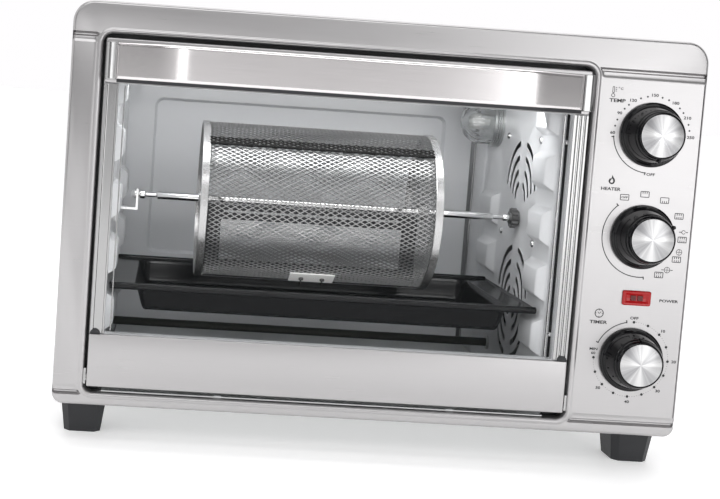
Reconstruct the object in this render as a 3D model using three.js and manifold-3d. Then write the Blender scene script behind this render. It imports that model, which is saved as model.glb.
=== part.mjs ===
// A countertop rotisserie oven: a stainless front with a drop-down glass door, three dials, a mesh cage
// on a driven spit, a baking tray, a crumb tray and four plastic feet.
// Millimetres. +Z is up, +X is to the right seen from the front, and the front faces -Y.
// The origin is on the surface that the oven stands on, under the middle of its whole box.

import * as THREE from 'three';
import { mergeVertices } from 'three/addons/utils/BufferGeometryUtils.js';
import Module from 'manifold-3d';

// ---- driving dimensions -------------------------------------------------------------------------

const GAP = 0.3; // clearance kept between pieces that touch
const SHEET = 1.2; // thickness of the folded sheet steel

const BODY_HALF_WIDTH = 260;
const BODY_BOTTOM = 29;
const BODY_TOP = 358.5;
const FRONT = -166; // the stainless front's face
const REAR = 190; // the rear cover's face
const FRONT_DEPTH = 12; // how far the front frame's edge is turned back
const CORNER_TOP = 18;
const CORNER_BOTTOM = 9;

const OPENING = { left: -236.5, right: 168.5, bottom: 39.5, top: 334.5, corner: 9 };
const DOOR = { left: -232.5, right: 164.5, bottom: 44.5, top: 329.5, back: -154 };
const WINDOW = { left: -220.5, right: 152.5, bottom: 88.8, top: 293 };
const HINGE_Y = -160;
const HINGE_Z = 50.5;

const HANDLE = { half: 198, bend: 143, face: -194, thick: 2, bottom: 296, top: 326, foot: -178 };

const CAVITY = { left: -223, right: 151, bottom: 39, top: 322, front: -150, back: 138 };
const SHELF_TOPS = [118.6, 165.9, 213.2, 260.5, 307.8];
const SHELF_RUNS = [[-136, -84], [28, 83]]; // front and rear columns of shelf ribs, along Y
const REAR_ROWS = 3; // the rear column has only the lowest ribs
const RIB = { height: 35, rise: 8, slope: 8 };

const SPIT_Y = -36;
const SPIT_Z = 193.5;
const CAGE_RADIUS = 71;
const CAGE = { left: -147.3, right: 64.8, ring: 6.9, latch: [-62, -22] };
const CAGE_SEAM_TOP = 132.4; // degrees about the spit, from +Y towards +Z
const CAGE_SEAM_LOW = 250.6;
const HINGE_WIRE_RADIUS = 1.2;

const ROD_RADIUS = 4; // heater rods
const HEATERS = {
  heater_lower_front: [-105, 62],
  heater_lower_rear: [33, 62],
  heater_upper_front: [-105, 303],
  heater_upper_rear: [9, 303],
};

const LAMP_Y = 56; // oven lamp on the right wall
const LAMP_Z = 280;
const FAN_Z = 115; // convection fan behind the right wall, under the spit's drive

const PANEL = { left: 175.3, right: 258, bottom: 46, top: 324, thick: 1.6 };
const DIAL_X = 217.4;
const KNOB_HEIGHT = 23.2;
// each dial: height above the floor, and where its pointer stands, clockwise from the top
const DIALS = { temperature: [280.7, 180], function: [196.2, 57], timer: [93.4, 0] };
const PILOT_Z = 145.1; // power lamp

const TRAY = { half: 184, front: -125, rear: 53, top: 125.2, bottom: 101.3, flange: 21 };
const TRAY_X = -36;
const CRUMB = { left: -220, right: 148, front: -163, rear: 122, bottom: 39.9, thick: 1 };

const FOOT = { x: 235, front: -125, rear: 150, width: 38, depth: 42, taper: 0.8, chamfer: 6 };

// ---- geometry helpers ---------------------------------------------------------------------------

const wasm = await Module();
wasm.setup();

function toSolid(geometry) {
  const bare = geometry.clone();
  bare.deleteAttribute('normal');
  bare.deleteAttribute('uv');
  const merged = mergeVertices(bare, 1e-3);
  return new wasm.Manifold(new wasm.Mesh({
    numProp: 3,
    vertProperties: merged.attributes.position.array,
    triVerts: new Uint32Array(merged.index.array),
  }));
}

function toGeometry(solid) {
  const mesh = solid.getMesh();
  const geometry = new THREE.BufferGeometry();
  geometry.setAttribute('position', new THREE.BufferAttribute(mesh.vertProperties, 3));
  geometry.setIndex(new THREE.BufferAttribute(mesh.triVerts, 1));
  geometry.computeVertexNormals();
  return geometry;
}

function join(first, ...others) {
  return toGeometry(others.reduce((sum, one) => sum.add(toSolid(one)), toSolid(first)));
}

function cut(first, ...others) {
  return toGeometry(others.reduce((left, one) => left.subtract(toSolid(one)), toSolid(first)));
}

// A rectangle with round corners, drawn on a shape or on a hole's path.
function roundRect(target, x0, y0, x1, y1, low, high = low) {
  target.moveTo(x0 + low, y0);
  target.lineTo(x1 - low, y0);
  target.absarc(x1 - low, y0 + low, low, -Math.PI / 2, 0);
  target.lineTo(x1, y1 - high);
  target.absarc(x1 - high, y1 - high, high, 0, Math.PI / 2);
  target.lineTo(x0 + high, y1);
  target.absarc(x0 + high, y1 - high, high, Math.PI / 2, Math.PI);
  target.lineTo(x0, y0 + low);
  target.absarc(x0 + low, y0 + low, low, Math.PI, 1.5 * Math.PI);
  return target;
}

function ring(outer, inner) {
  const shape = roundRect(new THREE.Shape(), ...outer);
  shape.holes.push(roundRect(new THREE.Path(), ...inner));
  return shape;
}

function extrude(shape, depth, segments = 2) {
  return new THREE.ExtrudeGeometry(shape, { depth, bevelEnabled: false, curveSegments: segments });
}

// A shape drawn in X and Z, as thick as from y0 to y1.
function alongY(shape, y0, y1, segments) {
  return extrude(shape, y1 - y0, segments).rotateX(Math.PI / 2).translate(0, y1, 0);
}

// A shape drawn in Y and Z, as long as from x0 to x1.
function alongX(shape, x0, x1, segments) {
  const turn = new THREE.Matrix4().makeBasis(
    new THREE.Vector3(0, 1, 0), new THREE.Vector3(0, 0, 1), new THREE.Vector3(1, 0, 0));
  return extrude(shape, x1 - x0, segments).applyMatrix4(turn).translate(x0, 0, 0);
}

function box(x0, y0, z0, x1, y1, z1) {
  const geometry = new THREE.BoxGeometry(x1 - x0, y1 - y0, z1 - z0);
  return geometry.translate((x0 + x1) / 2, (y0 + y1) / 2, (z0 + z1) / 2);
}

// A solid turned about the Y axis from [radius, y] points, listed from low y to high y.
function turned(profile, segments = 24) {
  return new THREE.LatheGeometry(profile.map(([r, y]) => new THREE.Vector2(r, y)), segments);
}

// The same, about the X axis.
function turnedX(profile, segments) {
  return turned(profile, segments).rotateZ(-Math.PI / 2);
}

function rodX(radius, x0, x1, y, z, segments = 12) {
  const rod = new THREE.CylinderGeometry(radius, radius, x1 - x0, segments);
  return rod.rotateZ(Math.PI / 2).translate((x0 + x1) / 2, y, z);
}

function rodY(radius, y0, y1, x, z, segments = 16) {
  const rod = new THREE.CylinderGeometry(radius, radius, y1 - y0, segments);
  return rod.translate(x, (y0 + y1) / 2, z);
}

// Narrows a geometry towards its far end: at height 1 its section is scaled by the factors.
function taper(geometry, low, high, factorX, factorY) {
  const at = geometry.attributes.position;
  for (let i = 0; i < at.count; i += 1) {
    const t = (at.getZ(i) - low) / (high - low);
    at.setX(i, at.getX(i) * (1 + (factorX - 1) * t));
    at.setY(i, at.getY(i) * (1 + (factorY - 1) * t));
  }
  return geometry;
}

// An arc-shaped strip in Y and Z about the spit, between two angles in degrees.
function arcStrip(inner, outer, from, to) {
  const shape = new THREE.Shape();
  const [a, b] = [THREE.MathUtils.degToRad(from), THREE.MathUtils.degToRad(to)];
  shape.absarc(0, 0, outer, a, b, false);
  shape.absarc(0, 0, inner, b, a, true);
  shape.closePath();
  return shape;
}

// ---- finishes and the assembly ------------------------------------------------------------------

const finish = {
  stainless: [0xc9c7c4, 0.32, 1.0],
  polished: [0xe2e2e2, 0.12, 1.0],
  enamel: [0xb4b8ba, 0.45, 0.2],
  cover: [0x9a9c9e, 0.5, 0.6],
  blackEnamel: [0x141414, 0.2, 0.1],
  blackGloss: [0x0c0c0e, 0.12, 0.0],
  blackMatte: [0x2a2b2e, 0.6, 0.0],
  glass: [0xdfe8ea, 0.05, 0.0],
  red: [0xc02818, 0.2, 0.0],
  heater: [0x33352f, 0.6, 0.5],
  zinc: [0xa8aaa8, 0.4, 0.9],
  darkSteel: [0x4a4b4c, 0.45, 0.8],
};

const oven = new THREE.Group();

function place(name, geometry, look, parent = oven) {
  const [color, roughness, metalness] = look;
  const material = new THREE.MeshStandardMaterial({ color, roughness, metalness });
  const mesh = new THREE.Mesh(geometry, material);
  mesh.name = name;
  parent.add(mesh);
  return mesh;
}

// ---- casing -------------------------------------------------------------------------------------

function bodyOutline(inset) {
  const half = BODY_HALF_WIDTH - inset;
  return [-half, BODY_BOTTOM + inset, half, BODY_TOP - inset,
    CORNER_BOTTOM - inset, CORNER_TOP - inset];
}

function openingOutline(grow) {
  return [OPENING.left - grow, OPENING.bottom - grow, OPENING.right + grow, OPENING.top + grow,
    OPENING.corner + grow];
}

function frontFrame() {
  const edge = 1.5;
  const faceThick = 3;
  const face = alongY(ring(bodyOutline(0), openingOutline(0)), FRONT, FRONT + faceThick);
  const outerRim = alongY(ring(bodyOutline(0), bodyOutline(edge)), FRONT + 1, FRONT + FRONT_DEPTH);
  const innerRim = alongY(ring(openingOutline(edge), openingOutline(0)), FRONT + 1, FRONT + FRONT_DEPTH);
  const pocketDeep = PANEL.thick + GAP;
  const pocket = box(PANEL.left - GAP, FRONT - 1, PANEL.bottom - GAP,
    PANEL.right + GAP, FRONT + pocketDeep, PANEL.top + GAP);
  const shafts = Object.values(DIALS).map(([z]) => rodY(5, FRONT - 1, FRONT + 4, DIAL_X, z));
  const pilot = box(DIAL_X - 11, FRONT - 1, PILOT_Z - 5.5, DIAL_X + 11, FRONT + 4, PILOT_Z + 5.5);
  return cut(join(face, outerRim, innerRim), pocket, pilot, ...shafts);
}

function controlPanel() {
  const sheet = box(PANEL.left, FRONT, PANEL.bottom, PANEL.right, FRONT + PANEL.thick, PANEL.top);
  const shafts = Object.values(DIALS).map(([z]) => rodY(5, FRONT - 1, FRONT + 4, DIAL_X, z));
  const pilot = box(DIAL_X - 10.5, FRONT - 1, PILOT_Z - 5, DIAL_X + 10.5, FRONT + 4, PILOT_Z + 5);
  return cut(sheet, pilot, ...shafts);
}

const COVER_INSET = 1;
const COVER_FRONT = FRONT + FRONT_DEPTH + GAP;
const COVER_REAR = 171.5;

function wrapCover() {
  const [x0, , x1, top, , corner] = bodyOutline(COVER_INSET);
  const bottom = BODY_BOTTOM + 1;
  const shape = new THREE.Shape();
  shape.moveTo(x0, bottom);
  shape.lineTo(x0 + SHEET, bottom);
  shape.lineTo(x0 + SHEET, top - corner);
  shape.absarc(x0 + corner, top - corner, corner - SHEET, Math.PI, Math.PI / 2, true);
  shape.lineTo(x1 - corner, top - SHEET);
  shape.absarc(x1 - corner, top - corner, corner - SHEET, Math.PI / 2, 0, true);
  shape.lineTo(x1 - SHEET, bottom);
  shape.lineTo(x1, bottom);
  shape.lineTo(x1, top - corner);
  shape.absarc(x1 - corner, top - corner, corner, 0, Math.PI / 2);
  shape.lineTo(x0 + corner, top);
  shape.absarc(x0 + corner, top - corner, corner, Math.PI / 2, Math.PI);
  shape.closePath();
  return alongY(shape, COVER_FRONT, COVER_REAR, 3);
}

const GLAND = { x: 215, z: 62 };

function rearCover() {
  const back = alongY(roundRect(new THREE.Shape(), ...bodyOutline(COVER_INSET)), REAR - SHEET, REAR);
  const rim = alongY(ring(bodyOutline(COVER_INSET), bodyOutline(COVER_INSET + SHEET)),
    COVER_REAR + GAP, REAR - SHEET / 2);
  const slots = [];
  for (let i = 0; i < 8; i += 1) {
    const z = 120 + i * 14;
    slots.push(box(185, REAR - 3, z, 235, REAR + 1, z + 4));
  }
  return cut(join(back, rim), rodY(8, REAR - 4, REAR + 2, GLAND.x, GLAND.z), ...slots);
}

function cordGland() {
  const profile = [[4, -7], [7.6, -7], [7.6, GAP], [11, GAP], [11, 2.2], [9, 4], [4, 4], [4, -7]];
  return turned(profile, 16);
}

function basePan() {
  const [x0, , x1] = bodyOutline(3);
  const outline = (inset) => [x0 + inset, COVER_FRONT + inset, x1 - inset, COVER_REAR - 1 - inset, 4];
  const floor = extrude(roundRect(new THREE.Shape(), ...outline(0)), SHEET);
  const rim = extrude(ring(outline(0), outline(SHEET)), 6);
  return join(floor, rim);
}

function foot() {
  const [w, d, c] = [FOOT.width / 2, FOOT.depth / 2, FOOT.chamfer];
  const shape = new THREE.Shape();
  shape.moveTo(-w + c, -d);
  shape.lineTo(w - c, -d);
  shape.lineTo(w, -d + c);
  shape.lineTo(w, d - c);
  shape.lineTo(w - c, d);
  shape.lineTo(-w + c, d);
  shape.lineTo(-w, d - c);
  shape.lineTo(-w, -d + c);
  shape.closePath();
  const height = BODY_BOTTOM + 0.9;
  return taper(extrude(shape, height), height, 0, FOOT.taper, FOOT.taper);
}

function addCasing() {
  place('front_frame', frontFrame(), finish.stainless);
  place('control_panel', controlPanel(), finish.stainless);
  place('wrap_cover', wrapCover(), finish.cover);
  place('rear_cover', rearCover(), finish.cover);
  place('cord_gland', cordGland(), finish.blackMatte).position.set(GLAND.x, REAR, GLAND.z);
  place('base_pan', basePan(), finish.zinc).position.z = BODY_BOTTOM + 0.9 + GAP;
  for (const [side, x] of [['left', -FOOT.x], ['right', FOOT.x]]) {
    for (const [end, y] of [['front', FOOT.front], ['rear', FOOT.rear]]) {
      place(`foot_${end}_${side}`, foot(), finish.blackMatte).position.set(x, y, 0);
    }
  }
}

// ---- cavity -------------------------------------------------------------------------------------

// A shelf rib: a bulge with sloped sides, pressed out of a side wall towards the inside.
function shelfRib(y0, y1, top, wallX, inward) {
  const [long, tall] = [y1 - y0, RIB.height];
  const bulge = box(-long / 2, -tall / 2, 0, long / 2, tall / 2, RIB.rise + 0.5);
  taper(bulge, 0, RIB.rise + 0.5, (long - 2 * RIB.slope) / long, (tall - 2 * RIB.slope) / tall);
  bulge.applyMatrix4(new THREE.Matrix4().makeBasis(
    new THREE.Vector3(0, inward, 0), new THREE.Vector3(0, 0, 1), new THREE.Vector3(inward, 0, 0)));
  return bulge.translate(wallX - 0.5 * inward, (y0 + y1) / 2, top - tall / 2);
}

function sideWall(wallX, inward, holes) {
  const outerX = wallX - SHEET * inward;
  const [x0, x1] = [Math.min(wallX, outerX), Math.max(wallX, outerX)];
  const sheet = box(x0, CAVITY.front, CAVITY.bottom - SHEET, x1, CAVITY.back, CAVITY.top + 0.5);
  const ribs = [];
  SHELF_RUNS.forEach(([y0, y1], column) => {
    const tops = column === 0 ? SHELF_TOPS : SHELF_TOPS.slice(0, REAR_ROWS);
    tops.forEach((top) => ribs.push(shelfRib(y0, y1, top, wallX, inward)));
  });
  const rods = Object.values(HEATERS).map(([y, z]) => rodX(ROD_RADIUS + 0.5, x0 - 9, x1 + 9, y, z));
  return cut(join(sheet, ...ribs), ...rods, ...holes);
}

function heater() {
  const [pin, left, right] = [1.6, CAVITY.left - 8, CAVITY.right + 8];
  return turnedX([[0, left - 9], [pin, left - 9], [pin, left], [ROD_RADIUS, left],
    [ROD_RADIUS, right], [pin, right], [pin, right + 9], [0, right + 9]], 16);
}

function addCavity() {
  const { left, right, bottom, top, front, back } = CAVITY;
  const drive = rodX(5, right - 9, right + 9, SPIT_Y, SPIT_Z);
  const lamp = rodX(15, right - 2, right + 9, LAMP_Y, LAMP_Z, 24);
  place('cavity_left_wall', sideWall(left, 1, []), finish.enamel);
  place('cavity_right_wall', sideWall(right, -1, [drive, lamp]), finish.enamel);
  const backWall = box(left - SHEET, back + GAP, bottom - SHEET, right + SHEET, back + GAP + SHEET, top + 2);
  place('cavity_back_wall', backWall, finish.enamel);
  const ceiling = box(left - SHEET, front, top + 0.8, right + SHEET, back, top + 2);
  place('cavity_ceiling', ceiling, finish.enamel);
  const floor = box(left + GAP, front, bottom - SHEET, right - GAP, back, bottom);
  place('cavity_floor', floor, finish.enamel);

  const outer = [OPENING.left - 3, bottom - 6, OPENING.right + 3, OPENING.top + 3, 4];
  const inner = [left - GAP, bottom + GAP, right + GAP, top, 2];
  const flange = alongY(ring(outer, inner), front - SHEET, front - GAP);
  place('cavity_front_flange', flange, finish.enamel);

  for (const [name, [y, z]] of Object.entries(HEATERS)) {
    place(name, heater(), finish.heater).position.set(0, y, z);
  }
}

function addOvenLamp() {
  const x = CAVITY.right;
  const base = turnedX([[0, -10], [24, -10], [24, -GAP], [14.5, -GAP], [14.5, 24], [0, 24]], 20);
  const dome = [];
  const thick = 1.5;
  const steps = 4;
  for (let i = 0; i <= steps; i += 1) {
    const a = (i / steps) * Math.PI / 2;
    dome.push([22.5 * Math.sin(a), -20 - 19 * Math.cos(a)]);
  }
  dome.push([22.5, -10 - GAP], [22.5 - thick, -10 - GAP]);
  for (let i = steps; i >= 0; i -= 1) {
    const a = (i / steps) * Math.PI / 2;
    dome.push([(22.5 - thick) * Math.sin(a), -20 - (19 - thick) * Math.cos(a)]);
  }
  const bulb = turnedX([[0, -30], [5, -28.5], [8, -24], [8, -19], [5, -14], [5, -10 - GAP],
    [0, -10 - GAP]], 12);
  place('oven_lamp_base', base, finish.zinc).position.set(x, LAMP_Y, LAMP_Z);
  place('oven_lamp_glass', turnedX(dome, 20), finish.glass).position.set(x, LAMP_Y, LAMP_Z);
  place('oven_lamp_bulb', bulb, finish.glass).position.set(x, LAMP_Y, LAMP_Z);
}

// ---- rotisserie ---------------------------------------------------------------------------------

function spitRod() {
  const [ball, neck, rod, tip] = [4, 2, 3.5, 3.4];
  return turnedX([[0, -209], [ball - 1.5, -208.6], [ball, -207], [ball - 1.5, -205], [neck, -204.6],
    [neck, -201.6], [ball, -200.8], [ball, -196], [neck, -195.4], [neck, -185], [rod, -184],
    [rod, 126], [neck, 127], [neck, 136], [tip, 136.6], [tip, 147.3], [0, 147.3]], 12);
}

// The toothed driver that turns the spit, with its shaft through the cavity wall.
function driveSocket() {
  const teeth = 12;
  const shape = new THREE.Shape();
  for (let i = 0; i < teeth * 4; i += 1) {
    const radius = i % 4 < 2 ? 9.3 : 7.8;
    const a = ((i + 0.5) / (teeth * 4)) * 2 * Math.PI;
    const point = [radius * Math.cos(a), radius * Math.sin(a)];
    if (i === 0) shape.moveTo(...point);
    else shape.lineTo(...point);
  }
  shape.closePath();
  const driver = alongX(shape, 143.4, 150.5);
  const shaft = rodX(4, 149, 158.2, 0, 0);
  return cut(join(driver, shaft), rodX(ROD_RADIUS - 0.2, 142, 148, 0, 0));
}

function cageEnd(from, to) {
  const [rim, web, hub, bore] = [CAGE_RADIUS - 3.5, 1, 8, 3.9];
  const middle = (from + to) / 2;
  return turnedX([[bore, from], [hub, from], [hub, middle - web / 2], [rim, middle - web / 2],
    [rim, from], [CAGE_RADIUS + 0.5, from], [CAGE_RADIUS + 0.5, to], [rim, to],
    [rim, middle + web / 2], [hub, middle + web / 2], [hub, to], [bore, to], [bore, from]], 28);
}

// A flat rectangular frame that hangs under the spit inside the cage.
function innerFrame(x0, x1) {
  const [high, low, bar] = [-4, -62, 14];
  const shape = roundRect(new THREE.Shape(), x0, low, x1, high, 2);
  shape.holes.push(roundRect(new THREE.Path(), x0 + bar, low + bar / 2, x1 - bar, high - bar, 2));
  return alongY(shape, -0.75, 0.75, 2);
}

function spitHanger() {
  const arm = box(CAVITY.left + GAP, SPIT_Y - 6, SPIT_Z - 14, -202, SPIT_Y + 6, SPIT_Z - 12);
  const tab = box(-204, SPIT_Y - 6, SPIT_Z - 14, -202, SPIT_Y + 6, SPIT_Z + 5);
  const foot = box(CAVITY.left + GAP, SPIT_Y - 6, SPIT_Z - 26, CAVITY.left + GAP + 2, SPIT_Y + 6, SPIT_Z - 12);
  const slot = box(-206, SPIT_Y - 2.4, SPIT_Z, -200, SPIT_Y + 2.4, SPIT_Z + 8);
  const seat = rodX(2.4, -206, -200, SPIT_Y, SPIT_Z);
  return cut(join(arm, tab, foot), slot, seat);
}

function addRotisserie() {
  const spit = new THREE.Group();
  spit.position.set(0, SPIT_Y, SPIT_Z);
  oven.add(spit);
  const innerLeft = CAGE.left + CAGE.ring + GAP;
  const innerRight = CAGE.right - CAGE.ring - GAP;

  place('spit_rod', spitRod(), finish.polished, spit);
  place('spit_drive_socket', driveSocket(), finish.darkSteel, spit);
  place('cage_left_end', cageEnd(CAGE.left, CAGE.left + CAGE.ring), finish.polished, spit);
  place('cage_right_end', cageEnd(CAGE.right - CAGE.ring, CAGE.right), finish.polished, spit);
  const drum = arcStrip(CAGE_RADIUS - 1, CAGE_RADIUS, CAGE_SEAM_LOW + 0.5, CAGE_SEAM_TOP + 360 - 0.5);
  place('cage_drum', alongX(drum, innerLeft, innerRight, 12), finish.polished, spit);
  place('cage_inner_frame', innerFrame(innerLeft + 1, innerRight - 1), finish.darkSteel, spit);
  const door = arcStrip(CAGE_RADIUS - 1, CAGE_RADIUS, CAGE_SEAM_TOP + 0.5, CAGE_SEAM_LOW - 0.5);
  place('cage_door', alongX(door, innerLeft + GAP, innerRight - GAP, 6), finish.polished, spit);
  const latch = arcStrip(CAGE_RADIUS + GAP, CAGE_RADIUS + 1.6, CAGE_SEAM_LOW - 17, CAGE_SEAM_LOW - 2);
  place('cage_latch', alongX(latch, ...CAGE.latch, 3), finish.polished, spit);
  const seam = THREE.MathUtils.degToRad(CAGE_SEAM_TOP);
  const wireAt = CAGE_RADIUS + GAP + HINGE_WIRE_RADIUS;
  const wire = rodX(HINGE_WIRE_RADIUS, innerLeft, innerRight,
    wireAt * Math.cos(seam), wireAt * Math.sin(seam), 8);
  place('cage_hinge_wire', wire, finish.polished, spit);

  place('spit_hanger', spitHanger(), finish.zinc);
  const gearbox = turnedX([[0, 0], [25, 0], [25, 14], [20, 14], [20, 26], [0, 26]], 24);
  place('spit_gearmotor', gearbox, finish.zinc).position.set(158.5, SPIT_Y, SPIT_Z);
}

// ---- convection fan -----------------------------------------------------------------------------

function impeller() {
  const [radius, blades, deep] = [40, 8, 12];
  const pieces = [rodX(7, 0, deep, 0, 0), rodX(2.5, deep - 1, deep + 5, 0, 0)];
  for (let i = 0; i < blades; i += 1) {
    const blade = box(0, 10, -0.6, deep, radius, 0.6).rotateX((i / blades) * 2 * Math.PI);
    pieces.push(blade);
  }
  return join(rodX(radius - 1, deep - 1.2, deep, 0, 0, 24), ...pieces);
}

function addFan() {
  place('fan_impeller', impeller(), finish.zinc).position.set(156, SPIT_Y, FAN_Z);
  const motor = turnedX([[0, 0], [28, 0], [28, 20], [22, 28], [0, 28]], 24);
  place('fan_motor', motor, finish.darkSteel).position.set(173.5, SPIT_Y, FAN_Z);
}

// ---- controls -----------------------------------------------------------------------------------

// Along -Y from the panel: the profile's second number is the height above the panel. The knob is
// pressed on its shaft, which reaches back to the control behind the panel.
function knobBody(pointer) {
  const tall = KNOB_HEIGHT;
  const shaftEnd = GAP - FRONT_DEPTH - 2;
  const profile = [[0, shaftEnd], [3, shaftEnd], [3, 0.5], [26.6, 0.5], [26.6, 2.6], [25, 3.8],
    [24.4, 5.4], [20.6, tall - 4.2], [19.4, tall - 0.7], [17.8, tall], [17.8, tall - 1], [0, tall - 1]];
  const body = turned(profile, 28).rotateX(Math.PI);
  const a = THREE.MathUtils.degToRad(pointer);
  const bead = rodY(1.7, -tall + 1.5, -tall + 6.5, 20.6 * Math.sin(a), 20.6 * Math.cos(a), 12);
  return join(body, bead);
}

function knobDisc() {
  const [floor, rim, middle] = [KNOB_HEIGHT - 1 + GAP, KNOB_HEIGHT + 0.2, KNOB_HEIGHT - 0.2];
  return turned([[0, floor], [17.4, floor], [17.4, rim], [0, middle]], 28).rotateX(Math.PI);
}

function addControls() {
  const back = FRONT + FRONT_DEPTH + 2;
  for (const [name, [z, pointer]] of Object.entries(DIALS)) {
    const knob = new THREE.Group();
    knob.position.set(DIAL_X, FRONT, z);
    oven.add(knob);
    place(`${name}_knob`, knobBody(pointer), finish.blackGloss, knob);
    place(`${name}_knob_disc`, knobDisc(), finish.polished, knob);
  }
  const [tempZ, functionZ, timerZ] = Object.values(DIALS).map(([z]) => z);
  const thermostat = turned([[0, 0], [17, 0], [17, 14], [12, 18], [0, 18]]);
  place('thermostat', thermostat, finish.zinc).position.set(DIAL_X, back, tempZ);
  const selector = alongY(roundRect(new THREE.Shape(), -19, -19, 19, 19, 4), 0, 30);
  place('function_switch', selector, finish.blackMatte).position.set(DIAL_X, back, functionZ);
  const clockwork = alongY(roundRect(new THREE.Shape(), -24, -24, 24, 24, 5), 0, 22);
  place('timer', clockwork, finish.zinc).position.set(DIAL_X, back, timerZ);

  const lens = join(box(-12, -2.2, -6.2, 12, -GAP, 6.2), box(-10, -1, -4.6, 10, 6, 4.6));
  place('power_lamp_lens', lens, finish.red).position.set(DIAL_X, FRONT, PILOT_Z);
  const holder = box(-8, 6 + GAP, -4, 8, 26, 4);
  place('power_lamp_holder', holder, finish.blackMatte).position.set(DIAL_X, FRONT, PILOT_Z);
}

// ---- door ---------------------------------------------------------------------------------------

function doorHandle() {
  const { bend, face, thick } = HANDLE;
  const reach = HANDLE.half - 9.2 - GAP;
  const foot = HANDLE.foot + 2;
  const shape = new THREE.Shape();
  shape.moveTo(-reach, foot);
  shape.lineTo(-bend, face);
  shape.lineTo(bend, face);
  shape.lineTo(reach, foot);
  shape.lineTo(reach, foot + thick);
  shape.lineTo(bend - 0.5, face + thick);
  shape.lineTo(-bend + 0.5, face + thick);
  shape.lineTo(-reach, foot + thick);
  shape.closePath();
  return extrude(shape, HANDLE.top - HANDLE.bottom);
}

function handleBracket() {
  const shape = new THREE.Shape();
  shape.moveTo(0, 0);
  shape.lineTo(9.2, 0);
  shape.lineTo(9.2, -12);
  shape.lineTo(4, -12);
  shape.quadraticCurveTo(0, -12, 0, -7);
  shape.closePath();
  return extrude(shape, HANDLE.top - HANDLE.bottom, 4);
}

// A plate in the gap beside the door, with the pin that the door turns on.
function doorHinge(side) {
  const plate = box(-1.3, -4.6, -4, 1.3, 8, 9);
  const pin = side > 0 ? rodX(3, -11, 0, 0, 0) : rodX(3, 0, 11, 0, 0);
  return join(plate, pin);
}

function addDoor() {
  const skin = FRONT + 2.2;
  const inner = skin + GAP;
  const outline = [DOOR.left, DOOR.bottom, DOOR.right, DOOR.top, 2];
  const paneOutline = [WINDOW.left, WINDOW.bottom, WINDOW.right, WINDOW.top, 1];
  const pinHoles = [
    rodX(3.4, DOOR.left - 1, DOOR.left + 10.5, HINGE_Y, HINGE_Z),
    rodX(3.4, DOOR.right - 10.5, DOOR.right + 1, HINGE_Y, HINGE_Z),
  ];
  place('door_frame', cut(alongY(ring(outline, paneOutline), inner, DOOR.back), ...pinHoles), finish.enamel);
  const lower = roundRect(new THREE.Shape(), DOOR.left, DOOR.bottom, DOOR.right, WINDOW.bottom - GAP, 1);
  place('door_lower_panel', alongY(lower, FRONT, skin, 2), finish.stainless);
  const upper = roundRect(new THREE.Shape(), DOOR.left, WINDOW.top + GAP, DOOR.right, DOOR.top, 2);
  place('door_top_panel', alongY(upper, FRONT, skin, 2), finish.stainless);
  const trimLeft = box(DOOR.left, FRONT, WINDOW.bottom, WINDOW.left, skin, WINDOW.top);
  place('door_left_trim', trimLeft, finish.stainless);
  const trimRight = box(WINDOW.right, FRONT, WINDOW.bottom, DOOR.right, skin, WINDOW.top);
  place('door_right_trim', trimRight, finish.stainless);
  const pane = box(WINDOW.left + GAP, -161, WINDOW.bottom + GAP, WINDOW.right - GAP, -157, WINDOW.top - GAP);
  place('door_glass', pane, finish.glass);

  const middle = (DOOR.left + DOOR.right) / 2;
  place('door_handle', doorHandle(), finish.polished).position.set(middle, 0, HANDLE.bottom);
  const left = place('handle_left_bracket', handleBracket(), finish.polished);
  left.position.set(middle - HANDLE.half, FRONT - GAP, HANDLE.bottom);
  const right = place('handle_right_bracket', handleBracket(), finish.polished);
  right.position.set(middle + HANDLE.half, FRONT - GAP, HANDLE.top);
  right.rotation.y = Math.PI;

  const leftX = (OPENING.left + DOOR.left) / 2;
  const rightX = (OPENING.right + DOOR.right) / 2;
  place('door_hinge_left', doorHinge(-1), finish.zinc).position.set(leftX, HINGE_Y, HINGE_Z);
  place('door_hinge_right', doorHinge(1), finish.zinc).position.set(rightX, HINGE_Y, HINGE_Z);
}

// ---- trays --------------------------------------------------------------------------------------

function bakingTray() {
  const { half, front, rear, top, bottom, flange } = TRAY;
  const [wide, deep] = [half - flange, (rear - front) / 2];
  const middle = (front + rear) / 2;
  const roll = 3;
  const level = top - roll;
  const slope = 0.93;
  const well = (inset, low) => {
    const shape = roundRect(new THREE.Shape(), -wide + inset, -deep + 6 + inset, wide - inset,
      deep - 6 - inset, 12);
    const high = level + 0.75 + inset;
    const body = extrude(shape, high - low, 3).translate(0, 0, low);
    return taper(body, high, low, slope, slope);
  };
  const rim = extrude(roundRect(new THREE.Shape(), -half, -deep + roll, half, deep - roll, 4), 1.5)
    .translate(0, 0, level - 0.75);
  const rolls = [-1, 1].map((end) => rodX(roll, -half, half, end * (deep - roll), level, 12));
  const tray = cut(join(well(0, bottom), rim, ...rolls), well(SHEET, bottom + SHEET));
  return tray.translate(TRAY_X, middle, 0);
}

function crumbTray() {
  const { left, right, front, rear, bottom, thick } = CRUMB;
  const sheet = box(left, front, bottom, right, rear, bottom + thick);
  const lip = box(left, front, bottom, right, front + 2, bottom + thick + 0.6);
  return join(sheet, lip);
}

addCasing();
addCavity();
addOvenLamp();
addRotisserie();
addFan();
addControls();
addDoor();
place('baking_tray', bakingTray(), finish.blackEnamel);
place('crumb_tray', crumbTray(), finish.zinc);

export default oven;
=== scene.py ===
"""A countertop rotisserie oven, dressed around its CAD frame.

The oven has a brushed stainless front with a drop-down glass door, three dials and a power lamp.
Inside it are a grey enamelled cavity with shelf ribs and air slots, a chromed mesh cage on a driven
spit, a black baking tray, heater rods, an oven lamp and a crumb tray.

Lengths in this script are millimetres. A mesh is scaled to metres when it is made.
+X is to the right seen from the front, the front faces -Y, and +Z is up.
"""

import math
from itertools import product

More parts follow.
